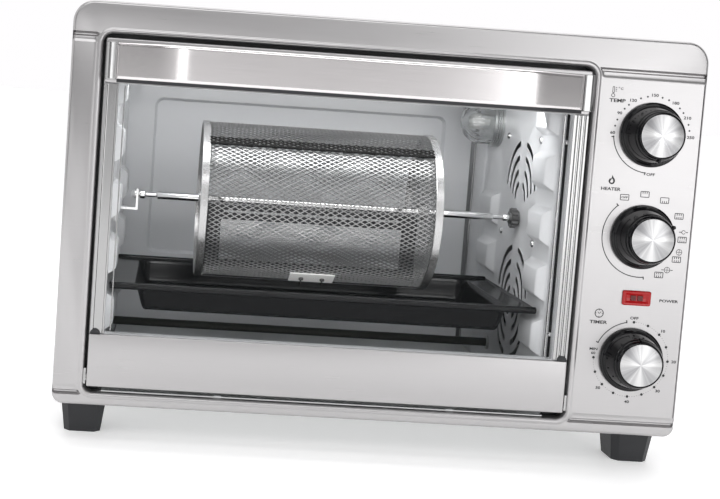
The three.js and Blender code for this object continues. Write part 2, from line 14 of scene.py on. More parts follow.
import bmesh
import bpy
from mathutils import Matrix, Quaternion, Vector
from mathutils.geometry import delaunay_2d_cdt


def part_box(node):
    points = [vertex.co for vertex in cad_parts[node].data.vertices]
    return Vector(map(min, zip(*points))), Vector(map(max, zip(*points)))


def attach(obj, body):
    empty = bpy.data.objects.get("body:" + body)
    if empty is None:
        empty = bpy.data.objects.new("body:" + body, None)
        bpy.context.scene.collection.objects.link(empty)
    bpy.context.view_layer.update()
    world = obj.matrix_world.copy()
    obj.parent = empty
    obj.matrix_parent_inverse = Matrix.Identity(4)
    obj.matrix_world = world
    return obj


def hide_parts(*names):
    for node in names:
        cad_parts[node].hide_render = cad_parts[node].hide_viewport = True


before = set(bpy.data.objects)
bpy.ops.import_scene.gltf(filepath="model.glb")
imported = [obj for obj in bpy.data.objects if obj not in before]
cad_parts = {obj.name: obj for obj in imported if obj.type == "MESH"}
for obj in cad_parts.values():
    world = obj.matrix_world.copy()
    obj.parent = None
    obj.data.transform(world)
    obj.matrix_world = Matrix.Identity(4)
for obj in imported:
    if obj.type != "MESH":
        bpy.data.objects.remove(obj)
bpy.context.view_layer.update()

MM = 0.001


def box_of(node):
    """The lowest and highest corner of a CAD node, in millimetres."""
    low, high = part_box(node)
    return Vector(low) / MM, Vector(high) / MM


# ---- geometry -----------------------------------------------------------------------------------


def smoothstep(t):
    t = min(max(t, 0.0), 1.0)
    return t * t * (3 - 2 * t)


def rounded(rect, grow=0.0, steps=6):
    """The points round a rectangle (x0, z0, x1, z1, low corner radius, high corner radius)."""
    x0, z0, x1, z1, low, high = rect
    x0, z0, x1, z1 = x0 - grow, z0 - grow, x1 + grow, z1 + grow
    low, high = max(low + grow, 0.05), max(high + grow, 0.05)
    centres = [(x1 - low, z0 + low, low, -90), (x1 - high, z1 - high, high, 0),
               (x0 + high, z1 - high, high, 90), (x0 + low, z0 + low, low, 180)]
    points = []
    for cx, cz, radius, start in centres:
        for step in range(steps + 1):
            angle = math.radians(start + 90 * step / steps)
            points.append((cx + radius * math.cos(angle), cz + radius * math.sin(angle)))
    return points


def beyond(rect, u, v):
    """How far a point lies outside a rounded rectangle; negative inside it."""
    x0, z0, x1, z1, low, high = rect
    radius = high if v > (z0 + z1) / 2 else low
    across = abs(u - (x0 + x1) / 2) - (x1 - x0) / 2 + radius
    along = abs(v - (z0 + z1) / 2) - (z1 - z0) / 2 + radius
    return math.hypot(max(across, 0), max(along, 0)) + min(max(across, along), 0) - radius


def circle(centre, radius, steps=24):
    turn = [2 * math.pi * i / steps for i in range(steps)]
    return [(centre[0] + radius * math.cos(a), centre[1] + radius * math.sin(a)) for a in turn]


def arc_band(centre, radius, width, start, end, steps=12):
    """The outline of a round-ended band along an arc, in degrees from +u towards +v."""

    def at(distance, degrees, middle=centre):
        a = math.radians(degrees)
        return (middle[0] + distance * math.cos(a), middle[1] + distance * math.sin(a))

    half = width / 2
    turn = [start + (end - start) * step / steps for step in range(steps + 1)]
    outer = [at(radius + half, degrees) for degrees in turn]
    inner = [at(radius - half, degrees) for degrees in turn]
    end_cap = [at(half, end + t, at(radius, end)) for t in (45, 90, 135)]
    start_cap = [at(half, start + t, at(radius, start)) for t in (225, 270, 315)]
    return outer + end_cap + inner[::-1] + start_cap


def contains(loop, u, v):
    inside = False
    for (ax, ay), (bx, by) in zip(loop, loop[1:] + loop[:1]):
        if (ay > v) != (by > v) and u < (bx - ax) * (v - ay) / (by - ay) + ax:
            inside = not inside
    return inside


class Form:
    """Points in millimetres and faces, gathered from closed solids."""

    def __init__(self):
        self.points = []
        self.faces = []

    def add(self, points, faces):
        start = len(self.points)
        self.points.extend(points)
        self.faces.extend([start + i for i in face] for face in faces)
        return self

    def box(self, low, high):
        (x0, y0, z0), (x1, y1, z1) = low, high
        points = [(x, y, z) for x in (x0, x1) for y in (y0, y1) for z in (z0, z1)]
        faces = [(0, 1, 3, 2), (4, 6, 7, 5), (0, 4, 5, 1), (2, 3, 7, 6), (0, 2, 6, 4), (1, 5, 7, 3)]
        return self.add(points, faces)

    def rings(self, rings, closed=False, caps=True):
        """Joins rings of points, each as long as the last, into a skin."""
        count = len(rings[0])
        points = [p for ring in rings for p in ring]
        faces = []
        for k in range(len(rings) if closed else len(rings) - 1):
            a, b = k * count, (k + 1) % len(rings) * count
            for i in range(count):
                j = (i + 1) % count
                faces.append((a + i, a + j, b + j, b + i))
        if caps and not closed:
            faces.append(range(count))
            faces.append(range(len(points) - count, len(points)))
        return self.add(points, faces)

    def prism(self, outline, low, high, axis="Y"):
        """A flat outline made as long as from low to high along an axis."""
        put = {"X": lambda p, h: (h, p[0], p[1]), "Y": lambda p, h: (p[0], h, p[1]),
               "Z": lambda p, h: (p[0], p[1], h)}[axis]
        return self.rings([[put(p, low) for p in outline], [put(p, high) for p in outline]])

    def lathe(self, profile, centre, axis="Y", steps=48, closed=False):
        """Turns [radius, height] points about an axis through a centre."""
        put = {"X": lambda c, s, h: (h, c, s), "Y": lambda c, s, h: (c, h, s),
               "Z": lambda c, s, h: (c, s, h)}[axis]
        rings = []
        for radius, height in profile:
            ring = []
            for k in range(steps):
                a = 2 * math.pi * k / steps
                at = put(max(radius, 0.01) * math.cos(a), max(radius, 0.01) * math.sin(a), height)
                ring.append(tuple(p + c for p, c in zip(at, centre)))
            rings.append(ring)
        return self.rings(rings, closed)

    def tube(self, path, radius, sides=10):
        """A round wire along a path."""
        path = [Vector(p) for p in path]
        rings = []
        side = None
        for i, point in enumerate(path):
            ahead = (path[min(i + 1, len(path) - 1)] - path[max(i - 1, 0)]).normalized()
            if side is None:
                side = ahead.orthogonal().normalized()
            side = (side - ahead * side.dot(ahead)).normalized()
            other = ahead.cross(side)
            turn = [2 * math.pi * k / sides for k in range(sides)]
            rings.append([tuple(point + radius * (math.cos(a) * side + math.sin(a) * other)) for a in turn])
        return self.rings(rings)

    def rim(self, rect, profile, steps, put):
        """Sweeps a closed profile of (growth, height) points round a rounded rectangle."""
        rings = [[put(u, v, height) for u, v in rounded(rect, grow, steps)] for grow, height in profile]
        return self.rings(rings, closed=True)

    def plate(self, outline, holes, loops, lines, height, back, put):
        """A closed plate of any relief: its face follows height, and its rear follows back.
        Loops and lines give the face more points, and put turns (u, v, height) into a place."""
        points, edges = [], []
        for loop in (outline, *holes, *loops):
            start, count = len(points), len(loop)
            points.extend(Vector(p) for p in loop)
            edges.extend((start + i, start + (i + 1) % count) for i in range(count))
        for line in lines:
            start = len(points)
            points.extend(Vector(p) for p in line)
            edges.extend((start + i, start + i + 1) for i in range(len(line) - 1))
        flat, _, faces, *_ = delaunay_2d_cdt(points, edges, [], 0, 1e-4)
        kept = []
        for face in faces:
            u = sum(flat[i].x for i in face) / len(face)
            v = sum(flat[i].y for i in face) / len(face)
            if contains(outline, u, v) and not any(contains(hole, u, v) for hole in holes):
                kept.append(list(face))
        used = sorted({i for face in kept for i in face})
        order = {old: new for new, old in enumerate(used)}
        kept = [[order[i] for i in face] for face in kept]
        heights = [(flat[i].x, flat[i].y, height(flat[i].x, flat[i].y)) for i in used]
        count = len(heights)
        solid = [put(u, v, w) for u, v, w in heights] + [put(u, v, back(u, v, w)) for u, v, w in heights]
        edges = {}
        for face in kept:
            for a, b in zip(face, face[1:] + face[:1]):
                if (b, a) in edges:
                    edges.pop((b, a))
                else:
                    edges[a, b] = (b, a, a + count, b + count)
        walls = list(edges.values())
        rear = [[i + count for i in face[::-1]] for face in kept]
        return self.add(solid, kept + rear + walls)

    def mesh(self, name):
        """A mesh of the form, in metres."""
        mesh = bpy.data.meshes.new(name)
        mesh.from_pydata([tuple(c * MM for c in p) for p in self.points], [],
                         [tuple(face) for face in self.faces])
        return mesh


def make(name, form, look, body, replaces=(), bevel=0.0, smooth=32):
    """A piece from a form: in metres, facing out, with its finish, and riding on a CAD body."""
    mesh = form.mesh(name)
    work = bmesh.new()
    work.from_mesh(mesh)
    bmesh.ops.remove_doubles(work, verts=work.verts, dist=1e-7)
    bmesh.ops.dissolve_degenerate(work, edges=work.edges, dist=1e-8)
    bmesh.ops.recalc_face_normals(work, faces=work.faces)
    work.to_mesh(mesh)
    work.free()
    mesh.shade_smooth()
    mesh.set_sharp_from_angle(angle=math.radians(smooth))
    mesh.materials.append(LOOKS[look])
    piece = bpy.data.objects.new(name, mesh)
    bpy.context.scene.collection.objects.link(piece)
    if bevel:
        soften(piece, bevel)
    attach(piece, body)
    if replaces:
        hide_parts(*replaces)
    return piece


def soften(piece, width):
    """Rounds the edges of a piece or of a CAD node."""
    bevel = piece.modifiers.new("edges", "BEVEL")
    bevel.width = width * MM
    bevel.segments = 2
    bevel.limit_method = "ANGLE"
    bevel.angle_limit = math.radians(40)
    bevel.harden_normals = True
    return piece


# ---- materials ----------------------------------------------------------------------------------


def feed(tree, node, inputs):
    """Links each input that is given a socket, and sets every other one."""
    for name, value in inputs.items():
        if isinstance(value, bpy.types.NodeSocket):
            tree.links.new(value, node.inputs[name])
        else:
            node.inputs[name].default_value = value


def add_node(tree, kind, inputs, **settings):
    """Adds a shader node and returns its outputs."""
    node = tree.nodes.new(f"ShaderNode{kind}")
    for name, value in settings.items():
        setattr(node, name, value)
    feed(tree, node, inputs)
    return node.outputs


def color_ramp(tree, value, stops):
    """Turns a value into a colour, by stops of (position, colour)."""
    node = tree.nodes.new("ShaderNodeValToRGB")
    elements = node.color_ramp.elements
    while len(elements) < len(stops):
        elements.new(0.5)
    for element, (position, color) in zip(elements, stops):
        element.position = position
        element.color = (*color, 1)
    feed(tree, node, {"Fac": value})
    return node.outputs["Color"]


def finish(name, color, metallic=0.0, roughness=0.5, spread=0.08, grain=(400, 400, 400), relief=0.03,
           mottle=0.05, patch=14.0, tangent=None, anisotropic=0.0, coat=0.0, alpha=1.0, transmission=0.0,
           emission=0.0, ior=1.45):
    """A procedural finish. The grain is noise per metre along X, Y and Z: it varies the roughness and
    raises a fine relief, while larger patches of wear shift the colour and the roughness."""
    look = bpy.data.materials.new(name)
    look.use_nodes = True
    tree = look.node_tree
    place = add_node(tree, "TexCoord", {})["Object"]
    scaled = add_node(tree, "Mapping", {"Vector": place, "Scale": grain})["Vector"]
    fine = add_node(tree, "TexNoise", {"Vector": scaled, "Scale": 1.0, "Detail": 3.0})["Fac"]
    large = add_node(tree, "TexNoise", {"Vector": place, "Scale": patch, "Detail": 4.0})["Fac"]
    both = add_node(tree, "Mix", {"Factor": 0.35, "A": fine, "B": large})["Result"]
    rough = {"Value": both, "From Min": 0.25, "From Max": 0.75,
             "To Min": max(roughness - spread, 0.02), "To Max": min(roughness + spread, 1.0)}
    dark = [c * (1 - mottle) for c in color]
    light = [min(c * (1 + mottle), 1.0) for c in color]
    tone = {"Factor": both, "A": (*dark, 1), "B": (*light, 1)}
    bump = {"Strength": relief, "Distance": 0.0005, "Height": fine}
    shader = {
        "Metallic": metallic, "IOR": ior, "Coat Weight": coat, "Coat Roughness": 0.06, "Alpha": alpha,
        "Transmission Weight": transmission, "Anisotropic": anisotropic,
        "Roughness": add_node(tree, "MapRange", rough)["Result"],
        "Base Color": add_node(tree, "Mix", tone, data_type="RGBA")["Result"],
        "Normal": add_node(tree, "Bump", bump)["Normal"],
    }
    if emission:
        shader.update({"Emission Color": (*color, 1), "Emission Strength": emission})
    if tangent:
        direction = add_node(tree, "Tangent", {}, direction_type="RADIAL", axis=tangent)
        shader["Tangent"] = direction["Tangent"]
    feed(tree, tree.nodes["Principled BSDF"], shader)
    return look


BRUSHED_ALONG_X = (22, 1700, 1700)
BRUSHED_ALONG_Z = (900, 900, 18)

# Each finish has its name, colour, metallic share, roughness and its spread, grain, relief, mottle and
# patches per metre, and then the axis that it is brushed or turned about and how strongly.
LOOKS = {
    "stainless": finish("brushed_stainless", (0.47, 0.462, 0.465), 1.0, 0.30, 0.04, BRUSHED_ALONG_X, 0.04,
                        0.04, 6.0, "Z", 0.55),
    "trim": finish("bright_stainless_trim", (0.42, 0.42, 0.42), 1.0, 0.14, 0.06, BRUSHED_ALONG_Z, 0.05,
                   0.04, 10.0),
    "handle": finish("satin_handle_steel", (0.80, 0.775, 0.775), 1.0, 0.19, 0.03, BRUSHED_ALONG_X, 0.006,
                     0.03, 8.0),
    "chrome": finish("chrome_plate", (0.82, 0.82, 0.82), 1.0, 0.1, 0.05, (300, 300, 300), 0.03, 0.03, 20.0),
    "mesh": finish("chromed_mesh", (0.36, 0.36, 0.36), 1.0, 0.36, 0.08, (500, 500, 500), 0.05, 0.08, 30.0),
    "aluminium": finish("spun_aluminium", (0.86, 0.86, 0.87), 1.0, 0.30, 0.05, (700, 700, 700), 0.04,
                        0.03, 30.0, "Y", 0.7),
    "enamel": finish("grey_enamel", (0.675, 0.685, 0.70), 0.0, 0.34, 0.08, (420, 420, 420), 0.08, 0.06,
                     9.0, coat=0.25),
    "cover": finish("painted_cover_steel", (0.40, 0.41, 0.42), 0.35, 0.42, 0.07, (700, 700, 700), 0.10,
                    0.05, 7.0),
    "zinc": finish("galvanised_sheet", (0.58, 0.59, 0.59), 1.0, 0.38, 0.12, (60, 60, 60), 0.04, 0.14, 35.0),
    "tray": finish("black_enamel", (0.008, 0.008, 0.009), 0.0, 0.16, 0.05, (250, 250, 250), 0.05, 0.2,
                   12.0, ior=1.32),
    "knob": finish("gloss_black_plastic", (0.003, 0.003, 0.004), 0.0, 0.06, 0.03, (300, 300, 300), 0.02,
                   0.2, 25.0, ior=1.38),
    "foot": finish("grained_black_plastic", (0.022, 0.023, 0.026), 0.0, 0.5, 0.1, (900, 900, 900), 0.35,
                   0.15, 20.0),
    "print": finish("black_print", (0.015, 0.015, 0.016), 0.0, 0.5, 0.1, (900, 900, 900), 0.05, 0.2, 40.0),
    "heater": finish("oxidised_heater_sheath", (0.06, 0.062, 0.055), 0.6, 0.5, 0.12, (150, 500, 500), 0.2,
                     0.3, 25.0),
    "dark": finish("dark_steel", (0.16, 0.16, 0.16), 0.9, 0.4, 0.1, (300, 300, 300), 0.12, 0.2, 20.0),
    "glass": finish("door_glass", (0.03, 0.035, 0.035), 0.0, 0.03, 0.015, (20, 20, 20), 0.0, 0.02, 4.0,
                    alpha=0.06, ior=1.2),
    "lamp_glass": finish("ribbed_lamp_glass", (0.95, 0.96, 0.96), 0.0, 0.04, 0.02, (200, 200, 200), 0.05,
                         0.02, 30.0, transmission=0.96),
    "bulb": finish("frosted_bulb", (0.62, 0.62, 0.61), 0.0, 0.35, 0.05, (300, 300, 300), 0.03, 0.03, 30.0),
    "pilot": finish("red_pilot_lens", (0.40, 0.003, 0.005), 0.0, 0.08, 0.04, (500, 500, 500), 0.05, 0.15,
                    60.0),
    "pilot_core": finish("dark_red_reflector", (0.10, 0.002, 0.002), 0.0, 0.1, 0.05, (700, 700, 700), 0.1,
                         0.3, 90.0),
    # Near-black enamel: the food frame's own colour, and painted shade on the cavity's front flange, which
    # shows through the gap round the door.
    "dark_enamel_and_gap_shade": finish("near_black_enamel_painted_gap_shade", (0.022, 0.023, 0.025), 0.0, 0.45, 0.1, (420, 420, 420), 0.08,
                          0.2, 15.0),
    # The latch finish glows faintly: painted light that stands in for the light its downward-facing strip
    # does not get.
    "latch": finish("tinned_latch_steel_painted_glow", (0.88, 0.88, 0.87), 0.0, 0.35, 0.08, (300, 300, 300), 0.05, 0.05,
                    40.0, emission=0.28),
    "ring": finish("tinned_ring_steel", (0.55, 0.55, 0.55), 0.8, 0.24, 0.05, (300, 300, 300), 0.02,
                   0.05, 30.0),
    # Almost black with a weak reflection: painted shade along the cage's seam, on the seam lap and the
    # lid's hinge wire.
    "seam": finish("painted_seam_shade_steel", (0.012, 0.012, 0.012), 0.0, 0.7, 0.1, (420, 420, 420), 0.05, 0.2,
                   15.0, ior=1.15),
}


def spin_streaks(look):
    """Turned metal: streaks that run out from the middle of a disc, and a painted sheen of bright and dark
    sectors fixed round it, standing in for the light the turned grain catches.
    """
    tree = look.node_tree
    place = add_node(tree, "SeparateXYZ", {"Vector": add_node(tree, "TexCoord", {})["Generated"]})

    def calculate(operation, *values):
        return add_node(tree, "Math", dict(enumerate(values)), operation=operation)["Value"]

    across = calculate("SUBTRACT", place["X"], 0.5)
    up = calculate("SUBTRACT", place["Z"], 0.5)
    angle = calculate("ARCTAN2", up, across)
    # Painted sheen: bright and dark sectors round the disc, set into its colour.
    painted_sheen = calculate("COSINE", calculate("MULTIPLY_ADD", angle, 4.0, 0.5))
    noise = {"W": angle, "Scale": 2.2, "Detail": 6.0}
    streaks = add_node(tree, "TexNoise", noise, noise_dimensions="1D")["Fac"]
    level = calculate("ADD", calculate("MULTIPLY", painted_sheen, 0.16), streaks)
    ramp = color_ramp(tree, level, ((0.3, (0.36, 0.36, 0.37)), (0.72, (0.70, 0.70, 0.70))))
    feed(tree, tree.nodes["Principled BSDF"], {"Base Color": ramp})


spin_streaks(LOOKS["aluminium"])

# ---- sizes from the frame -----------------------------------------------------------------------

front_low, front_high = box_of("front_frame")
FRONT = front_low.y
CASE_BOTTOM, CASE_TOP = front_low.z, front_high.z
door_low, door_high = box_of("door_frame")
skin_low, skin_high = box_of("door_lower_panel")
glass_low, glass_high = box_of("door_glass")
panel_low, panel_high = box_of("control_panel")

CLEAR = 0.3  # gap between touching pieces
DOOR_GAP_SIDE = 2.4
DOOR_GAP_TOP = 3.4
DOOR_GAP_BOTTOM = 5.0
CASE = (front_low.x, CASE_BOTTOM, front_high.x, CASE_TOP, 9, 18)
OPENING = (door_low.x - DOOR_GAP_SIDE, door_low.z - DOOR_GAP_BOTTOM,
           door_high.x + DOOR_GAP_SIDE, door_high.z + DOOR_GAP_TOP, 8, 8)
SHEET = 1.2

DIAL_X = sum(v.x for v in box_of("thermostat")) / 2
DIAL_Z = {name: sum(v.z for v in box_of(node)) / 2 for name, node in
          (("temperature", "thermostat"), ("function", "function_switch"), ("timer", "timer"))}

# ---- casing -------------------------------------------------------------------------------------

BEAD = 5.0  # width of the rolled edge round the opening
FADE = (BEAD + 2.5, BEAD + 1, BEAD, 3)  # where the grooves die out beside it
BEAD_PROUD = 0.8
EDGE = 2.6  # rounding of the front's outer edge
# A shallow step and a narrow fold cross the front above and below the dials.
GROOVE = [(-4.5, 0.0), (-1.8, -1.1), (0.4, -1.1), (1.6, -3.4), (2.5, -3.4), (4.2, 0.0)]
UPPER_GROOVE_Z = panel_high.z + 5.0
LOWER_GROOVE_Z = panel_low.z - 4.6


def on_front(u, v, w):
    """A place on the front: to the right, up, and out from the front's plane."""
    return (u, FRONT - w, v)


def groove_depth(z):
    for centre, turn in ((UPPER_GROOVE_Z, 1), (LOWER_GROOVE_Z, -1)):
        t = (z - centre) * turn
        for (z0, w0), (z1, w1) in zip(GROOVE, GROOVE[1:]):
            if z0 <= t <= z1:
                return w0 + (w1 - w0) * smoothstep((t - z0) / (z1 - z0))
    return 0.0


def front_relief(x, z):
    depth = 0.0
    inset = -beyond(CASE, x, z)
    if inset < EDGE:
        depth = -(EDGE - math.sqrt(max(EDGE ** 2 - (EDGE - inset) ** 2, 0)))
    out = beyond(OPENING, x, z)
    if out < BEAD:
        half = BEAD / 2
        crest = BEAD_PROUD - half + math.sqrt(max(half ** 2 - (out - half) ** 2, 0))
        depth += crest if out < half else max(crest, 0)
    else:
        depth += groove_depth(z) * smoothstep((out - BEAD) / 2)
    return depth


def front_frame():
    slot = (panel_low.x - CLEAR, panel_low.z - CLEAR, panel_high.x + CLEAR, panel_high.z + CLEAR, 1, 1)
    loops = [rounded(CASE, -grow, 12) for grow in (0.2, 0.7, 1.5, EDGE)]
    loops += [rounded(OPENING, grow, 12) for grow in (0.3, 0.9, 1.7, 2.5, 3.3, 4.1, 4.7, BEAD)]
    lines = []
    for centre, turn in ((UPPER_GROOVE_Z, 1), (LOWER_GROOVE_Z, -1)):
        levels = [z for z, _ in GROOVE]
        levels += [(a + b) / 2 for a, b in zip(levels, levels[1:])]
        for level in sorted(levels):
            z = centre + level * turn
            lines.append([(CASE[0] + 0.5, z), *((OPENING[0] - away, z) for away in FADE)])
            lines.append([(CASE[2] - 0.5, z), *((OPENING[2] + away, z) for away in FADE)])
    form = Form().plate(
        rounded(CASE, 0, 12), [rounded(OPENING, 0, 12), rounded(slot, 0, 4)], loops, lines, front_relief,
        lambda u, v, w: -11.7, on_front)
    make("front_shell", form, "stainless", "oven", ["front_frame"])


def control_panel():
    rect = (panel_low.x - CLEAR, panel_low.z - CLEAR, panel_high.x, panel_high.z + CLEAR, 1, 1)
    holes = [circle((DIAL_X, z), 5, 20) for z in DIAL_Z.values()]
    lamp_low, lamp_high = box_of("power_lamp_lens")
    middle = (lamp_low + lamp_high) / 2
    lamp_hole = (middle.x - 10.5, middle.z - 5, middle.x + 10.5, middle.z + 5, 0.5, 0.5)
    holes.append(rounded(lamp_hole, 0, 3))
    form = Form().plate(
        rounded(rect, 0, 5), holes, (), [[(rect[2] - 0.5, rect[1]), (rect[2] - 0.5, rect[3])]],
        lambda u, v: -0.5 * smoothstep(1 - (rect[2] - u) / 0.5),
        lambda u, v, w: -1.6, on_front)
    make("panel_sheet", form, "stainless", "oven", ["control_panel"])


def cover_screw(form, at, axis, towards):
    """A domed cross-head screw; towards is the sign of the way it faces along its axis."""
    profile = [(0, -1.5), (3.6, -1.5), (3.6, 0.2), (3.0, 0.6), (1.8, 0.85), (0, 0.9)]
    form.lathe([(r, h * towards) for r, h in profile], at, axis, 20)


def wrap_cover():
    low, high = box_of("wrap_cover")
    corner = 17

    def hoop(inset):
        """Up the right side, over the top and down the left side, this far inside the cover's face."""
        rect = (low.x + inset, low.z, high.x - inset, high.z - inset, 0, corner - inset)
        return [(high.x - inset, low.z), *rounded(rect, 0, 12)[13:39], (low.x + inset, low.z)]

    form = Form().prism(hoop(0) + hoop(SHEET)[::-1], low.y, high.y, "Y")
    make("cover_wrap", form, "cover", "oven", ["wrap_cover"])

    louvres = Form()
    lip = [(-0.6, 0), (0.8, 0.3), (0.9, 1.2), (0.6, 4), (-0.6, 7)]  # out from the cover, and up
    for side, x in ((1, high.x), (-1, low.x)):
        for row, y in product(range(9), (70, 140)):
            z = 120 + row * 15
            louvres.rings([[(x + side * (out if abs(t) < 1 else -0.6), y + 27 * t, z + up)
                            for out, up in lip] for t in (-1, -0.9, 0.9, 1)])
    make("cover_louvres", louvres, "cover", "oven")

    screws = Form()
    for side, x in ((1, high.x), (-1, low.x)):
        for y in (low.y + 14, high.y - 9):
            for z in (low.z + 14, high.z - 40):
                cover_screw(screws, (x, y, z), "X", side)
    make("cover_screws", screws, "zinc", "oven")


def rear_cover():
    low, high = box_of("rear_cover")
    outline = (low.x, low.z, high.x, high.z, 8, 17)
    gland_low, gland_high = box_of("cord_gland")
    gland = (gland_low + gland_high) / 2
    pressed = (low.x + 60, low.z + 50, high.x - 110, high.z - 45, 14, 14)
    holes = [circle((gland.x, gland.z), 8, 24)]
    for row in range(8):
        z = 120 + row * 14
        holes.append(rounded((-235, z, -195, z + 4, 1.9, 1.9), 0, 3))
    for column in range(12):
        x = pressed[0] + 30 + column * 24
        holes.append(rounded((x, 276, x + 12, 280, 1.9, 1.9), 0, 3))

    def relief(x, z):
        edge = 2.0 * (1 - math.sqrt(max(1 - (1 - min(-beyond(outline, x, z) / 2, 1)) ** 2, 0)))
        return -edge - 3.0 * smoothstep(-beyond(pressed, x, z) / 6)

    loops = [rounded(outline, -g, 10) for g in (0.3, 0.9, 2)]
    loops += [rounded(pressed, -g, 8) for g in (0, 1.5, 3, 4.5, 6)]
    form = Form().plate(rounded(outline, 0, 10), holes, loops, (), relief, lambda u, v, w: w - SHEET,
                        lambda u, v, w: (u, high.y + w, v))
    wall = [(0, low.y), (0, high.y - 1.2), (-SHEET, high.y - 1.2), (-SHEET, low.y)]
    form.rim(outline, wall, 10, lambda u, v, h: (u, h, v))
    make("cover_rear", form, "cover", "oven", ["rear_cover"])

    screws = Form()
    for x in (low.x + 14, -20, high.x - 14):
        for z in (low.z + 16, high.z - 16):
            cover_screw(screws, (x, high.y, z), "Y", 1)
    make("rear_screws", screws, "zinc", "oven")
    profile = [(4, -7), (7.6, -7), (7.6, 0.3), (11, 0.3), (11, 2.2), (10.4, 3.2), (9, 4), (4.6, 4),
               (4, 3.4)]
    form = Form().lathe(profile, (gland.x, high.y, gland.z), "Y", 40, closed=True)
    make("gland", form, "foot", "oven", ["cord_gland"])


def dress(node, look, bevel=0.0):
    """Gives a CAD node, kept as it is, a finish and softer edges."""
    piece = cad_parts[node]
    piece.data.materials.clear()
    piece.data.materials.append(LOOKS[look])
    if bevel:
        soften(piece, bevel)
    return piece


def casing():
    front_frame()
    control_panel()
    wrap_cover()
    rear_cover()
    dress("base_pan", "zinc")
    for node in ("foot_front_left", "foot_front_right", "foot_rear_left", "foot_rear_right"):
        dress(node, "foot", 0.8)


casing()

# ---- cavity -------------------------------------------------------------------------------------

left_low, left_high = box_of("cavity_left_wall")
right_low, right_high = box_of("cavity_right_wall")
back_low, back_high = box_of("cavity_back_wall")
spit_low, spit_high = box_of("spit_rod")
lamp_low, lamp_high = box_of("oven_lamp_base")
spit_mid = (spit_low + spit_high) / 2
lamp_mid = (lamp_low + lamp_high) / 2
SPIT_AXIS = (0, spit_mid.y, spit_mid.z)

HEATERS = ("heater_lower_front", "heater_lower_rear", "heater_upper_front", "heater_upper_rear")
WALL_LEFT = left_low.x + SHEET
WALL_RIGHT = right_high.x - SHEET
WALL_BACK = back_low.y
RIB_RISE = 8.0
RIB_HEIGHT = 35.0
SHELF_STEP = 47.3
LOWEST_SHELF = left_low.z + 80.8
FRONT_RIBS = (left_low.y + 14, left_low.y + 66)
REAR_RIBS = (left_low.y + 178, left_low.y + 233)
REAR_BAND_Y = WALL_BACK - 45
VENT_RINGS = [(43.6, 0.0), (33.2, 2.6), (24.0, 5.7), (15.0, 8.8)]  # radius, and how much lower it sits
VENT_SLOT = 5.4
VENT_LIP = 0.5
VENT_LIP_WIDTH = 1.5


def shelf_ribs():
    """The rounded rectangles of the shelf ribs, in Y and Z."""
    ribs = []
    for (y0, y1), rows in ((FRONT_RIBS, 5), (REAR_RIBS, 3)):
        for row in range(rows):
            top = LOWEST_SHELF + row * SHELF_STEP
            ribs.append((y0, top - RIB_HEIGHT, y1, top, 3, 3))
    return ribs


def vent_arcs():
    """Nested arcs in Y and Z: one fan of arcs above the spit's drive, and a whole eye below it."""
    arcs = []
    for upright, base in ((1, spit_mid.z + 26.7), (1, spit_mid.z - 71), (-1, spit_mid.z - 86)):
        for radius, drop in VENT_RINGS:
            centre = (spit_mid.y, base - drop * upright)
            clear = math.degrees(math.asin(min((7 if radius < 20 else 11) / radius, 0.9)))
            for start, end in ((6, 90 - clear), (90 + clear, 174)):
                if end - start >= 12:
                    band = (start, end) if upright > 0 else (-end, -start)
                    arcs.append((centre, radius, *band))
    return arcs


def vent_lip(arcs, y, z):
    """How high the rolled lip stands beside the nearest air slot."""
    nearest = VENT_LIP_WIDTH
    for centre, radius, start, end in arcs:
        away = math.hypot(y - centre[0], z - centre[1])
        turn = math.degrees(math.atan2(z - centre[1], y - centre[0]))
        past = max(start - turn, turn - end, 0)
        along = radius * math.radians(past)
        nearest = min(nearest, math.hypot(away - radius, along) - VENT_SLOT / 2)
    return VENT_LIP * (1 - smoothstep(nearest / VENT_LIP_WIDTH))


def side_wall(name, node, wall_x, inward, holes, arcs=()):
    low, high = box_of(node)
    ribs = shelf_ribs()
    slots = [arc_band(centre, radius, VENT_SLOT, start, end, 10) for centre, radius, start, end in arcs]
    lips = [arc_band(centre, radius, VENT_SLOT + grow, start, end, 10)
            for centre, radius, start, end in arcs for grow in (1.4, 2.8)]

    def relief(y, z):
        height = 1.4 * smoothstep((y - REAR_BAND_Y) / 3)
        for rib in ribs:
            out = beyond(rib, y, z)
            if out < 0:
                height += (RIB_RISE - height) * smoothstep(-out / 8)
        return height + (vent_lip(arcs, y, z) if arcs else 0)

    loops = [rounded(rib, -grow, 3) for rib in ribs for grow in (0, 1.5, 3, 5, 6.5, 8)] + lips
    outline = [(low.y, low.z), (high.y, low.z), (high.y, high.z), (low.y, high.z)]
    lines = [[(REAR_BAND_Y + step, low.z), (REAR_BAND_Y + step, high.z)] for step in (0, 1, 2, 3)]
    form = Form().plate(outline, holes + slots, loops, lines, relief, lambda u, v, w: w - 0.5,
                        lambda u, v, w: (wall_x + w * inward, u, v))
    make(name, form, "enamel", "oven", [node])


def back_wall():
    low, high = box_of("cavity_back_wall")
    emboss = (low.x + 30, low.z + 79, high.x - 36, high.z - 42.5, 9, 9)
    form = Form().plate(
        [(low.x, low.z), (high.x, low.z), (high.x, high.z), (low.x, high.z)], (),
        [rounded(emboss, -grow, 8) for grow in (0, 0.6, 1.4, 2.2, 2.8)], (),
        lambda u, v: -7 * smoothstep(-beyond(emboss, u, v) / 2.8), lambda u, v, w: w - 1.1,
        lambda u, v, w: (u, WALL_BACK - w, v))
    make("back_wall_sheet", form, "enamel", "oven", ["cavity_back_wall"])
    seam = [(1.6, 0), (6.4, 0), (6.4, 1.4), (3.2, 5.2), (1.6, 5.2)]  # in from the right wall and the back
    corner = Form().prism([(WALL_RIGHT - side, WALL_BACK - rear) for side, rear in seam], right_low.z + 2,
                          right_high.z - 1, "Z")
    make("corner_seam_right", corner, "trim", "oven", bevel=0.3)


